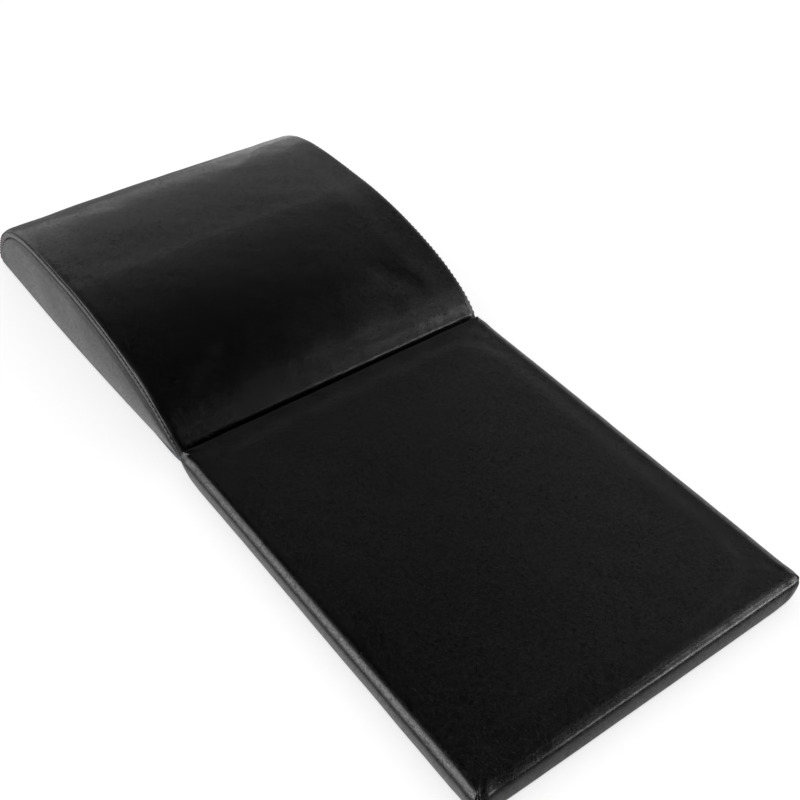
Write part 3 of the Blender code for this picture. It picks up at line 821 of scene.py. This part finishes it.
def make_side_panel(name, side, node):
    """Side panel, drawn tight between the seam and the foot."""
    points, place, below_seam, drawn_in = side_panel_grid(side, 280, 36, 5)
    normal = grid_normals(points) * side
    height = np.clip((points[..., 2] - 0.006) / 0.010, 0.0, 1.0)
    tall = np.clip((place[:, 1] - 0.01) / 0.03, 0.0, 1.0)[:, None]
    seed = 51 if side < 0 else 52
    relief = (
        0.00005 * folds(points[..., 1], 0.010, seed, TOE_Y, BACK_Y)
        + 0.00012 * ripples(points, 0.055, seed + 2)) * height * tall
    points = points + normal * relief[..., None]
    faces = grid_faces(*points.shape[:2], inside_out=side > 0)
    flat = np.stack([points[..., 1], points[..., 2]], axis=-1)
    panel = finished_mesh(name, points, faces, "wedge", leather, uv=flat)
    crease = np.zeros(points.shape[:2])
    crease[:, :below_seam.shape[1]] = 0.5 * fade(below_seam, 0.012)
    sunk = np.zeros(points.shape[:2])
    sunk[:, :below_seam.shape[1]] = np.exp(-(below_seam / 0.0022) ** 2) * drawn_in
    mark_points(panel, "creased", crease)
    mark_points(panel, "sunk", sunk)
    thicken(panel, COVER_THICKNESS)
    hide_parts(node)


def make_wedge_foam():
    """Foam core in the wedge: the outline moved in, closed by its two sides and its base."""
    place, normal, run = dome_outline(FOAM_INSET, np.linspace(0.0, 1.0, 110))
    half = wedge_half_width(place[:, 0], place[:, 1], -1.0) - 0.0036
    base = np.column_stack([place[:, 0], np.full(len(place), HEM_LEVEL + FOAM_INSET)])
    reach, down = (value[:, 0] for value in wedge_rim(run, -1))
    shoulder = place - normal * down[:, None]
    columns = [(half, base + (shoulder - base) * share) for share in np.linspace(0.0, 0.95, 12)]
    for turn in np.linspace(0.0, math.pi / 2, 7):
        edge = half - reach * (1 - math.cos(turn))
        columns.append((edge, place - normal * (down * (1 - math.sin(turn)))[:, None]))
    right = np.stack([np.column_stack([x, line]) for x, line in columns], axis=1)
    points = np.concatenate([right, right[:, ::-1] * (-1.0, 1.0, 1.0)], axis=1)
    rows, count = points.shape[:2]
    faces = grid_faces(rows, count, closed=True, inside_out=True)
    faces.append(list(range(count)))
    faces.append([(rows - 1) * count + index for index in range(count)][::-1])
    foam = finished_mesh("wedge_foam", points, faces, "wedge", foam_material)
    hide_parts("wedge_foam_core")


# Pad


def corner_columns(side_steps, corner_steps):
    """Columns round a rounded rectangle, anticlockwise from above, starting at the front's
    left end: centre of each column's corner circle, outward direction, share of the way
    round its corner (-1 on the sides), and place along its side from -1 to 1."""
    centre, way, bend, along = [], [], [], []
    share = np.linspace(0.0, 1.0, corner_steps + 2)[1:-1]
    run = np.linspace(-1.0, 1.0, side_steps)
    for quarter in range(4):
        angle = -math.pi / 2 + quarter * math.pi / 2
        out = np.array([math.cos(angle), math.sin(angle)])
        ahead = np.array([-out[1], out[0]])
        centre += [out + run[:, None] * ahead, np.repeat((out + ahead)[None, :], corner_steps, axis=0)]
        turn = angle + share * math.pi / 2
        way += [np.repeat(out[None, :], side_steps, axis=0), np.column_stack([np.cos(turn), np.sin(turn)])]
        bend += [np.full(side_steps, -1.0), share]
        along += [run, np.ones(corner_steps)]
    return tuple(np.concatenate(values) for values in (centre, way, bend, along))


def rounded_rings(half_x, half_y, radius, centre, way):
    """Rings of points: each a rounded rectangle of that half width, half length and corner
    radius, which are given per row or per point."""
    half = np.stack(np.broadcast_arrays(half_x, half_y), axis=-1)
    radius = np.asarray(radius)[..., None]
    return centre[None] * np.maximum(half - radius, 0.0) + way[None] * radius


def pad_rim(way):
    """Each column's rim: how far in and how far down it reaches."""
    front = np.maximum(-way[:, 1], 0.0)[:, None] ** 2
    hinge = np.maximum(way[:, 1], 0.0)[:, None] ** 2
    rim = front * PAD_RIM_AT_FRONT + hinge * PAD_RIM_AT_HINGE + (1 - front - hinge) * PAD_RIM_AT_SIDES
    return rim.T


def pad_grid(columns, inset, steps, hem_steps):
    """Grid over the pad: rounded rectangles from the hem over side and rim to the middle of
    the top, sharp at the top corners and drawn round and inwards at the foot. The sides swell
    as half a sine wave, and the top is crowned by fourth powers of the places across and
    along. Also how far each point is in from the side and how far up."""
    side_steps, rim_steps, top_steps, middle_steps = steps
    centre, way, _, _ = columns
    reach, down = pad_rim(way)
    low = HEM_LEVEL + inset
    top = PAD_THICKNESS - inset
    ones = np.ones(len(way))
    under, level = hem_path(hem_steps)
    side = np.linspace(0.0, 1.0, side_steps)[:, None]
    turn = np.linspace(0.0, math.pi / 2, rim_steps)[1:, None]
    inner = np.linspace(0.0, 1.0, top_steps)[1:, None] ** 1.3
    far = PAD_FLAT_FROM
    inwards = np.concatenate([
        under[:, None] * ones, 0.0 * side * ones, reach * (1 - np.cos(turn)),
        reach + (far - reach) * inner, np.full((middle_steps, len(ones)), far)])
    foot = low + HEM_RADIUS
    height = np.concatenate([
        level[:, None] * ones + inset, foot + (top - down - foot) * side,
        top - down * (1 - np.sin(turn)), np.full((top_steps - 1 + middle_steps, len(ones)), top)])
    shrink = np.zeros(len(height))
    shrink[-middle_steps:] = np.linspace(0.0, 1.0, middle_steps + 1)[1:] ** 0.92 * 0.985
    up = np.clip((height - low) / (top - low), 0.0, 1.0)
    radius = np.maximum(0.0095 - 0.0065 * up ** 0.7 - 0.6 * inwards, 0.0015)
    swell = PAD_SIDE_BULGE * np.sin(math.pi * up) - inset
    keep = 1 - shrink[:, None]
    low_down = 1 - np.clip(up / 0.7, 0, 1)
    front = (centre[:, 1] < 0)[None, :]
    toward_hinge = 0.0006 * (1 + centre[:, 0][None, :])
    wide = swell - PAD_FOOT_IN * low_down
    long = swell + np.where(front, PAD_FRONT_FOOT_OUT * low_down, toward_hinge)
    flat = rounded_rings(
        (PAD_HALF_WIDTH - inwards + wide) * keep, (PAD_LENGTH / 2 - inwards + long) * keep,
        radius * keep, centre, way)
    x = flat[..., 0]
    y = flat[..., 1]
    across = np.clip(np.abs(x) / PAD_HALF_WIDTH, 0, 1)
    along = np.clip(np.abs(y) / (PAD_LENGTH / 2), 0, 1)
    to_corner = np.hypot(PAD_HALF_WIDTH - np.abs(x), PAD_LENGTH / 2 - np.abs(y))
    pull = PAD_CORNER_PULL * fade(to_corner, 0.030) * (1 - up) ** 1.4
    fall = np.where(y > 0, 0.5, 1.0) * along ** 4
    rise = PAD_CROWN * (1 - across ** 4) * (1 - fall) * (up > 0.5)
    ear = PAD_CORNER_EAR * fade(to_corner, 0.010) * up ** 4 * ((x < 0) & (y > 0))
    points = np.stack([
        x - np.sign(x) * pull, y - np.sign(y) * pull + PAD_MIDDLE_Y, height + rise + ear], axis=-1)
    return points, inwards, up


def pad_relief(points, inwards, up, columns, run):
    """How far the pad's cover stands out from its plain form.

    A pleat pinches each corner between two puffed folds, the rim wrinkles across itself
    where the cover was pulled over, and the rest is slightly uneven.
    """
    _, way, bend, along = columns
    off_corner = np.where(bend >= 0, np.abs(bend - 0.5), 9.0)[None, :]
    beside = np.where(bend >= 0, 0.0, (1 - np.abs(along)) * 0.17)[None, :]
    low_fade = np.clip(up / 0.25, 0, 1)
    tight = np.where(way[:, 1] > 0, 0.0005, 0.0011)[None, :]
    pinch = -tight * np.exp(-(off_corner / 0.17) ** 2) * fade(inwards, 0.006)
    puff = 0.0006 * np.exp(-((beside - 0.006) / 0.005) ** 2) * fade(inwards, 0.012)
    on_rim = np.exp(-((inwards - 0.004) / 0.007) ** 2) * np.clip((up - 0.45) / 0.3, 0, 1)
    wrinkle = folds(run, 0.0085, 61, 0.0, run[-1])[None, :]
    wide = folds(run, 0.030, 62, 0.0, run[-1])[None, :]
    return (
        (pinch + puff) * low_fade
        + 0.00005 * on_rim * wrinkle
        + 0.00012 * on_rim * wide
        + 0.00010 * ripples(points, 0.090, 71)
        + 0.00003 * ripples(points, 0.028, 72)) * np.clip((up - 0.02) / 0.1, 0, 1)


def make_pad_cover():
    """One sheet of leather cloth wrapped over the pad and pleated at its corners."""
    columns = corner_columns(128, 26)
    points, inwards, up = pad_grid(columns, 0.0, (10, 15, 13, 22), 5)
    step = 0.005
    x = np.arange(-PAD_HALF_WIDTH + 0.01, PAD_HALF_WIDTH - 0.009, step)
    y = np.arange(PAD_FRONT_Y + 0.01, PAD_HINGE_Y - 0.005, step)
    top = np.stack([*np.meshgrid(x, y), np.full((len(y), len(x)), PAD_THICKNESS)], axis=-1)
    moved = settle(top, SETTLE_LIMIT)
    moved = smooth_read(moved, (points[..., 1] - y[0]) / step, (points[..., 0] - x[0]) / step)
    edge = np.minimum(
        PAD_HALF_WIDTH - np.abs(points[..., 0]),
        PAD_LENGTH / 2 - np.abs(points[..., 1] - PAD_MIDDLE_Y))
    points = points + moved * (ramp(edge, 0.010, 0.030) * (up > 0.9))[..., None]
    normal = grid_normals(points, closed=True)
    ring = points[12]
    run = np.concatenate([[0.0], np.cumsum(np.linalg.norm(np.diff(ring, axis=0), axis=1))])
    around = run[-1] + np.linalg.norm(ring[0] - ring[-1])
    relief = pad_relief(points, inwards, up, columns, run)
    points = points + normal * relief[..., None]
    rows, count = points.shape[:2]
    faces = grid_faces(rows, count, closed=True)
    faces.append([(rows - 1) * count + index for index in range(count)])
    across = np.concatenate([
        np.zeros((1, count)), np.cumsum(np.linalg.norm(np.diff(points, axis=0), axis=-1), axis=0)])
    flat = np.stack(np.broadcast_arrays(run[None, :], across), axis=-1)
    cover = finished_mesh(
        "pad_leather", points, faces, "pad", leather, uv=flat, around=around)
    on_rim = np.exp(-((inwards - 0.003) / 0.006) ** 2) * (up > 0.5)
    mark_points(cover, "rubbed", on_rim)
    toward_front_left = np.exp(-np.linalg.norm(
        points[..., :2] - (-PAD_HALF_WIDTH, PAD_FRONT_Y), axis=-1) / 0.05)
    toward_front = np.exp(-(points[..., 1] - PAD_FRONT_Y) / 0.10) * (up > 0.95)
    mark_points(cover, "creased", on_rim * (0.1 + 0.45 * toward_front_left) + 0.5 * toward_front)
    thicken(cover, COVER_THICKNESS)
    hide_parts("pad_cover")


def make_pad_foam():
    """Foam slab in the pad: the cover's own form moved in, closed below and above."""
    points, _, _ = pad_grid(corner_columns(30, 6), FOAM_INSET, (4, 7, 4, 6), 3)
    rows, count = points.shape[:2]
    faces = grid_faces(rows, count, closed=True)
    faces.append(list(range(count))[::-1])
    faces.append([(rows - 1) * count + index for index in range(count)])
    foam = finished_mesh("pad_foam", points, faces, "pad", foam_material)
    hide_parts("pad_foam_core")


# Stitching


def make_stitches(name, path, outward, body, node, pitch, length, radius, lift):
    """Row of separate stitches along a path. Each is a round thread that rises out of one
    hole, bows over the leather and sinks into the next."""
    steps = np.linalg.norm(np.diff(path, axis=0), axis=1)
    run = np.concatenate([[0.0], np.cumsum(steps)])
    count = int(run[-1] / pitch)
    start = (np.arange(count) + 0.5) * run[-1] / count - length / 2
    rings, sides = 9, 8
    share = np.linspace(0.0, 1.0, rings)
    where = start[:, None] + share[None, :] * length
    middle = np.stack([np.interp(where, run, path[:, k]) for k in range(3)], axis=-1)
    out = np.stack([np.interp(where, run, outward[:, k]) for k in range(3)], axis=-1)
    out /= np.linalg.norm(out, axis=-1, keepdims=True)
    along = np.gradient(middle, axis=1)
    along /= np.linalg.norm(along, axis=-1, keepdims=True)
    across = np.cross(along, out)
    bow = np.sin(math.pi * share) ** 0.55
    middle = middle + out * (lift * bow - 0.6 * radius * (1 - bow))[None, :, None]
    thick = radius * np.clip(np.sin(math.pi * (0.06 + 0.88 * share)), 0, 1) ** 0.3
    turn = np.linspace(0.0, 2 * math.pi, sides, endpoint=False)
    around = (
        across[:, :, None, :] * np.cos(turn)[None, None, :, None]
        + out[:, :, None, :] * np.sin(turn)[None, None, :, None])
    points = middle[:, :, None, :] + around * thick[None, :, None, None]
    one = np.array(grid_faces(rings, sides, closed=True))
    offset = (np.arange(count) * rings * sides)[:, None, None]
    faces = (one[None] + offset).reshape(-1, 4).tolist()
    each = rings * sides
    for first in range(0, count * each, each):
        faces.append(list(range(first, first + sides))[::-1])
        faces.append(list(range(first + each - sides, first + each)))
    flat = np.stack(np.broadcast_arrays(
        (where - start[:, None])[:, :, None], (turn / (2 * math.pi))[None, None, :]), axis=-1)
    stitches = finished_mesh(name, points, faces, body, thread_material, uv=flat)
    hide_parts(node)


def make_topstitch(name, side, node):
    """Stitches along the crest of the wedge's side edge, in their groove."""
    place, normal, run = dome_outline(0.0, np.linspace(0.006, 0.992, 1200))
    reach, down = (value[:, 0] for value in wedge_rim(run, side))
    inwards = reach * (1 - math.cos(STITCH_TURN))
    half = wedge_half_width(place[:, 0], place[:, 1], side) - inwards
    at = place - normal * (down * (1 - math.sin(STITCH_TURN)))[:, None]
    path = np.column_stack([side * half, at])
    out = np.column_stack([
        side * down * math.cos(STITCH_TURN), normal * (reach * math.sin(STITCH_TURN))[:, None]])
    out /= np.linalg.norm(out, axis=1)[:, None]
    path = path - out * GROOVE_DEPTH
    make_stitches(name, path, out, "wedge", node, lift=TOPSTITCH_LIFT[side], **TOPSTITCH)


def make_box_stitch(name, edge, way, body, node):
    """Box of small stitches that sews one flange of the hinge strip to the hem above it."""
    half = PAD_WIDTH / 2 - BOX_STITCH_INSET
    near = edge + way * BOX_STITCH_NEAR
    far = edge + way * BOX_STITCH_FAR
    corner = np.array([[-half, near], [half, near], [half, far], [-half, far], [-half, near]])
    path = np.concatenate([
        corner[k] + (corner[k + 1] - corner[k]) * np.linspace(0, 1, 60)[:, None]
        for k in range(4)])
    level = STRIP_TOP - STRIP_THICKNESS - BOX_STITCH["lift"]
    path = np.column_stack([path, np.full(len(path), level)])
    path = path[np.append(True, np.linalg.norm(np.diff(path, axis=0), axis=1) > 1e-9)]
    out = np.tile([0.0, 0.0, -1.0], (len(path), 1))
    make_stitches(name, path, out, body, node, **BOX_STITCH)


# Hinge strip and base cloths


def make_hinge_strip():
    """Woven strip under the gap."""
    half = PAD_WIDTH / 2 - STRIP_INSET
    across = np.linspace(-half, half, 90)
    low = PAD_HINGE_Y - STRIP_FLANGE
    high = TOE_Y + STRIP_FLANGE
    along = np.concatenate([
        np.linspace(low, PAD_HINGE_Y, 14, endpoint=False),
        np.linspace(PAD_HINGE_Y, TOE_Y, 16, endpoint=False),
        np.linspace(TOE_Y, high, 14)])
    y, x = np.meshgrid(along, across, indexing="ij")
    points = np.stack([x, y, np.full_like(x, STRIP_TOP)], axis=-1)
    faces = grid_faces(*x.shape)
    strip = finished_mesh(
        "hinge_web", points, faces, None, web_material, uv=points[..., :2])
    thicken(strip, STRIP_THICKNESS)
    bpy.context.view_layer.objects.active = strip
    strip.select_set(True)
    bpy.ops.object.modifier_apply(modifier="thickness")
    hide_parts("hinge_strip")
    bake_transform(strip)


def make_base_cloth(name, low, high, body, node):
    """Non-slip cloth: a thin plate with rounded corners, and rows of rubber dots under it. It
    is made of rounded rectangles from the middle of its underside, round its edge, to the
    middle of its top."""
    middle = (np.array(low) + np.array(high)) / 2
    half = (np.array(high) - np.array(low)) / 2
    columns = corner_columns(30, 8)
    below = 0.00032
    above = 0.0012
    gaps = np.array([0.05, 0.02, 0.0002, 0.0, 0.0, 0.0002, 0.02, 0.05])[:, None]
    level = np.array([below, below, below, 0.00045, 0.00108, above, above, above])
    rings = len(level)
    radius = np.maximum(CLOTH_CORNER - gaps, 0.004)
    flat = rounded_rings(half[0] - gaps, half[1] - gaps, radius, *columns[:2]) + middle
    points = np.concatenate([flat, np.broadcast_to(level[:, None, None], (*flat.shape[:2], 1))], -1)
    count = points.shape[1]
    faces = grid_faces(rings, count, closed=True)
    faces.append(list(range(count))[::-1])
    faces.append([(rings - 1) * count + index for index in range(count)])
    cloth = finished_mesh(
        name, points, faces, body, base_material, uv=points[..., :2])
    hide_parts(node)
    make_grip_dots(name + "_dots", middle, half, body)


def make_grip_dots(name, middle, half, body):
    """Flattened rubber domes in staggered rows, all cast in one shape."""
    row_pitch = DOT_PITCH * DOT_ROW_STEP
    count_x = int((2 * half[0] - CLOTH_CORNER) / DOT_PITCH)
    count_y = int((2 * half[1] - CLOTH_CORNER) / row_pitch)
    row, column = np.meshgrid(np.arange(count_y), np.arange(count_x), indexing="ij")
    x = (column - (count_x - 1) / 2 + 0.25 * np.where(row % 2, 1, -1)) * DOT_PITCH
    y = (row - (count_y - 1) / 2) * row_pitch
    inside = (np.abs(x) < half[0] - DOT_MARGIN) & (np.abs(y) < half[1] - DOT_MARGIN)
    centre = np.stack([x[inside] + middle[0], y[inside] + middle[1]], axis=-1)
    turn = np.linspace(0.0, 2 * math.pi, DOT_SIDES, endpoint=False)
    shape = np.concatenate([
        np.column_stack([size * np.cos(turn), size * np.sin(turn), np.full(DOT_SIDES, level)])
        for size, level in DOT_RINGS])
    points = np.tile(shape, (len(centre), 1, 1))
    points[..., :2] += centre[:, None, :]
    one = np.array(grid_faces(len(DOT_RINGS), DOT_SIDES, closed=True, inside_out=True))
    each = len(shape)
    offset = (np.arange(len(centre)) * each)[:, None, None]
    faces = (one[None] + offset).reshape(-1, 4).tolist()
    for first in range(0, len(centre) * each, each):
        faces.append(list(range(first + each - DOT_SIDES, first + each))[::-1])
        faces.append(list(range(first, first + DOT_SIDES)))
    finished_mesh(name, points, faces, body, rubber_material)


# Studio


def make_floor():
    """Plain pale floor: lit like any surface and lifted to white where it is seen, so that
    the mat's shadow stays. What the gloss mirrors of it is a pale patch round the mat,
    brighter beside it than in front or close behind, that ends before the horizon."""
    mesh = bpy.data.meshes.new("studio_floor")
    half = 6.0
    corners = [(-half, -half, 0), (half, -half, 0), (half, half, 0), (-half, half, 0)]
    mesh.from_pydata(corners, [], [(0, 1, 2, 3)])
    floor = bpy.data.objects.new("studio_floor", mesh)
    bpy.context.scene.collection.objects.link(floor)
    material = bpy.data.materials.new("studio_floor")
    material.use_nodes = True
    tree = material.node_tree
    shader = tree.nodes["Principled BSDF"]
    shader.inputs["Roughness"].default_value = 1.0
    shader.inputs["Specular IOR Level"].default_value = 0.0
    shader.inputs["Emission Color"].default_value = (1.0, 1.0, 1.0, 1.0)
    path = tree.nodes.new("ShaderNodeLightPath")
    seen = maths(tree, "MAXIMUM", path.outputs["Is Camera Ray"], path.outputs["Is Transmission Ray"])
    parts = tree.nodes.new("ShaderNodeSeparateXYZ")
    tree.links.new(tree.nodes.new("ShaderNodeTexCoord").outputs["Object"], parts.inputs[0])
    aside = maths(tree, "ABSOLUTE", parts.outputs["X"])
    patch = spread(tree, aside, 0.22, 0.32, FLOOR_GLOSS, 2.2 * FLOOR_GLOSS)
    patch = maths(tree, "MULTIPLY", spread(tree, aside, 0.40, 0.54, 1.0, 0.0), patch)
    ahead = parts.outputs["Y"]
    for start, end, first, last in (
            (-0.50, -0.43, 0, 1), (-0.396, -0.382, 0.85, 1), (0.05, 0.45, 1, 1.1), (0.90, 1.40, 1, 0)):
        patch = maths(tree, "MULTIPLY", spread(tree, ahead, start, end, first, last), patch)
    past_back = spread(tree, ahead, 0.32, 0.42, 0, 1)
    behind = maths(tree, "MULTIPLY", past_back, spread(tree, aside, 0.14, 0.18, 0.6, 0))
    patch = maths(tree, "MULTIPLY", patch, maths(tree, "SUBTRACT", 1.0, behind))
    mirrored = maths(tree, "MULTIPLY", path.outputs["Is Glossy Ray"], patch)
    pale = maths(tree, "MULTIPLY_ADD", path.outputs["Is Glossy Ray"], -0.8, 0.8)
    tree.links.new(pale, shader.inputs["Base Color"])
    lift = maths(tree, "MULTIPLY_ADD", seen, FLOOR_LIFT, mirrored)
    tree.links.new(lift, shader.inputs["Emission Strength"])
    mesh.materials.append(material)


def make_surroundings():
    """Light of the room. Matt surfaces get it even and soft, the camera sees it white, and
    in gloss it shows as softboxes: bright ones at the left and the front right, and dimmer
    ones round the back and the right between them."""
    world = bpy.data.worlds.new("studio")
    bpy.context.scene.world = world
    world.use_nodes = True
    world.cycles.sampling_method = "NONE"
    tree = world.node_tree
    shade = tree.nodes["Background"]
    shade.inputs["Color"].default_value = (1.0, 1.0, 1.0, 1.0)
    parts = tree.nodes.new("ShaderNodeSeparateXYZ")
    tree.links.new(tree.nodes.new("ShaderNodeTexCoord").outputs["Generated"], parts.inputs[0])
    leftward = maths(tree, "MULTIPLY", parts.outputs["X"], -1.0)
    turn = maths(tree, "ARCTAN2", leftward, parts.outputs["Y"])
    lift = maths(tree, "ARCSINE", parts.outputs["Z"])
    glossy = 0.0
    for centre, half_width, middle, half_height, level in SOFTBOXES:
        aside = maths(tree, "SUBTRACT", turn, math.radians(centre))
        aside = maths(tree, "MULTIPLY", maths(tree, "ABSOLUTE", aside), 1 / math.radians(half_width))
        above = maths(tree, "SUBTRACT", lift, math.radians(middle))
        above = maths(tree, "MULTIPLY", maths(tree, "ABSOLUTE", above), 1 / math.radians(half_height))
        off = maths(tree, "MAXIMUM", aside, above)
        glossy = maths(tree, "ADD", spread(tree, off, 0.70, 1.30, level, 0.0), glossy)
    path = tree.nodes.new("ShaderNodeLightPath")
    seen = maths(tree, "MAXIMUM", path.outputs["Is Camera Ray"], path.outputs["Is Transmission Ray"])
    in_gloss = path.outputs["Is Glossy Ray"]
    matt = maths(tree, "SUBTRACT", maths(tree, "SUBTRACT", 1.0, in_gloss), seen)
    total = maths(tree, "MULTIPLY", glossy, in_gloss)
    total = maths(tree, "MULTIPLY_ADD", matt, ROOM_LIGHT, total)
    tree.links.new(maths(tree, "ADD", total, seen), shade.inputs["Strength"])


def make_camera():
    """Camera at the photograph's own place, solved from the mat's edges."""
    data = bpy.data.cameras.new("camera")
    data.lens = 55.86
    data.sensor_width = 36.0
    data.shift_x = -0.1038
    data.shift_y = 0.0169
    camera = bpy.data.objects.new("camera", data)
    camera.location = (-0.42577, -0.70097, 0.73202)
    camera.rotation_euler = Euler([math.radians(v) for v in (47.7903, -1.7811, -38.2091)])
    bpy.context.scene.collection.objects.link(camera)
    bpy.context.scene.camera = camera


FLOOR_LIFT = 0.66
FLOOR_GLOSS = 0.48
ROOM_LIGHT = 0.50

# Softboxes of the room as turn from the back towards the left, half width, height above the
# horizon, half height, all in degrees, and brightness
SOFTBOXES = (
    (64, 20, 32, 16, 4.4),
    (64, 20, 6, 8, 2.2),
    (64, 20, 58, 10, 3.2),
    (91, 12, 4, 9, 2.6),
    (96, 14, 26, 13, 3.2),
    (33, 11, 34, 12, 2.35),
    (5, 17, 14, 18, 0.80),
    (-32, 20, 5, 8, 0.66),
    (-32, 20, 24, 11, 0.34),
    (-32, 20, 44, 9, 0.10),
    (-60, 14, 44, 12, 0.12),
    (-72, 18, 14, 18, 0.90),
    (-104, 12, 16, 18, 1.7),
    (-90, 22, 50, 14, 0.26),
    (-125, 9, 5, 8, 1.7),
    (-125, 9, 24, 11, 2.9),
    (-125, 12, 46, 11, 0.6),
    (-141, 7, 5, 8, 6.2),
    (-136, 7, 26, 11, 2.5),
    (-151, 4, 5, 8, 4.2),
)

bpy.context.scene.view_settings.view_transform = "Standard"
grain_group = make_grain_group()
weave_group = make_weave_group()
crease_group = make_crease_group()
leather = make_leather("black_leather_cloth", 640.0, 0.00014, 0.19)
foam_material = make_foam_material()
base_material = make_cloth_material(
    "base_cloth", 900.0, (0.030, 0.030, 0.031), (0.006, 0.006, 0.006), 0.85)
web_material = make_cloth_material(
    "hinge_web", 700.0, (0.024, 0.024, 0.025), (0.005, 0.005, 0.005), 0.75)
thread_material = make_thread_material()
rubber_material = make_rubber_material()

make_wedge_cover()
make_side_panel("wedge_side_left", -1.0, "wedge_left_panel")
make_side_panel("wedge_side_right", 1.0, "wedge_right_panel")
make_wedge_foam()
make_pad_cover()
make_pad_foam()
make_topstitch("topstitch_left", -1.0, "wedge_left_topstitch")
make_topstitch("topstitch_right", 1.0, "wedge_right_topstitch")
make_box_stitch("box_stitch_wedge", TOE_Y, 1.0, "wedge", "hinge_wedge_stitch")
make_box_stitch("box_stitch_pad", PAD_HINGE_Y, -1.0, "pad", "hinge_pad_stitch")
make_hinge_strip()
wedge_half = WEDGE_WIDTH / 2 - WEDGE_CLOTH_INSET
make_base_cloth(
    "wedge_base", (-wedge_half, TOE_Y + CLOTH_FROM_HINGE), (wedge_half, BACK_Y - CLOTH_FROM_BACK),
    "wedge", "wedge_base_cloth")
pad_half = PAD_WIDTH / 2 - PAD_CLOTH_INSET
make_base_cloth(
    "pad_base", (-pad_half, PAD_FRONT_Y + PAD_CLOTH_INSET),
    (pad_half, PAD_HINGE_Y - CLOTH_FROM_HINGE), "pad", "pad_base_cloth")

make_floor()
make_surroundings()
make_camera()
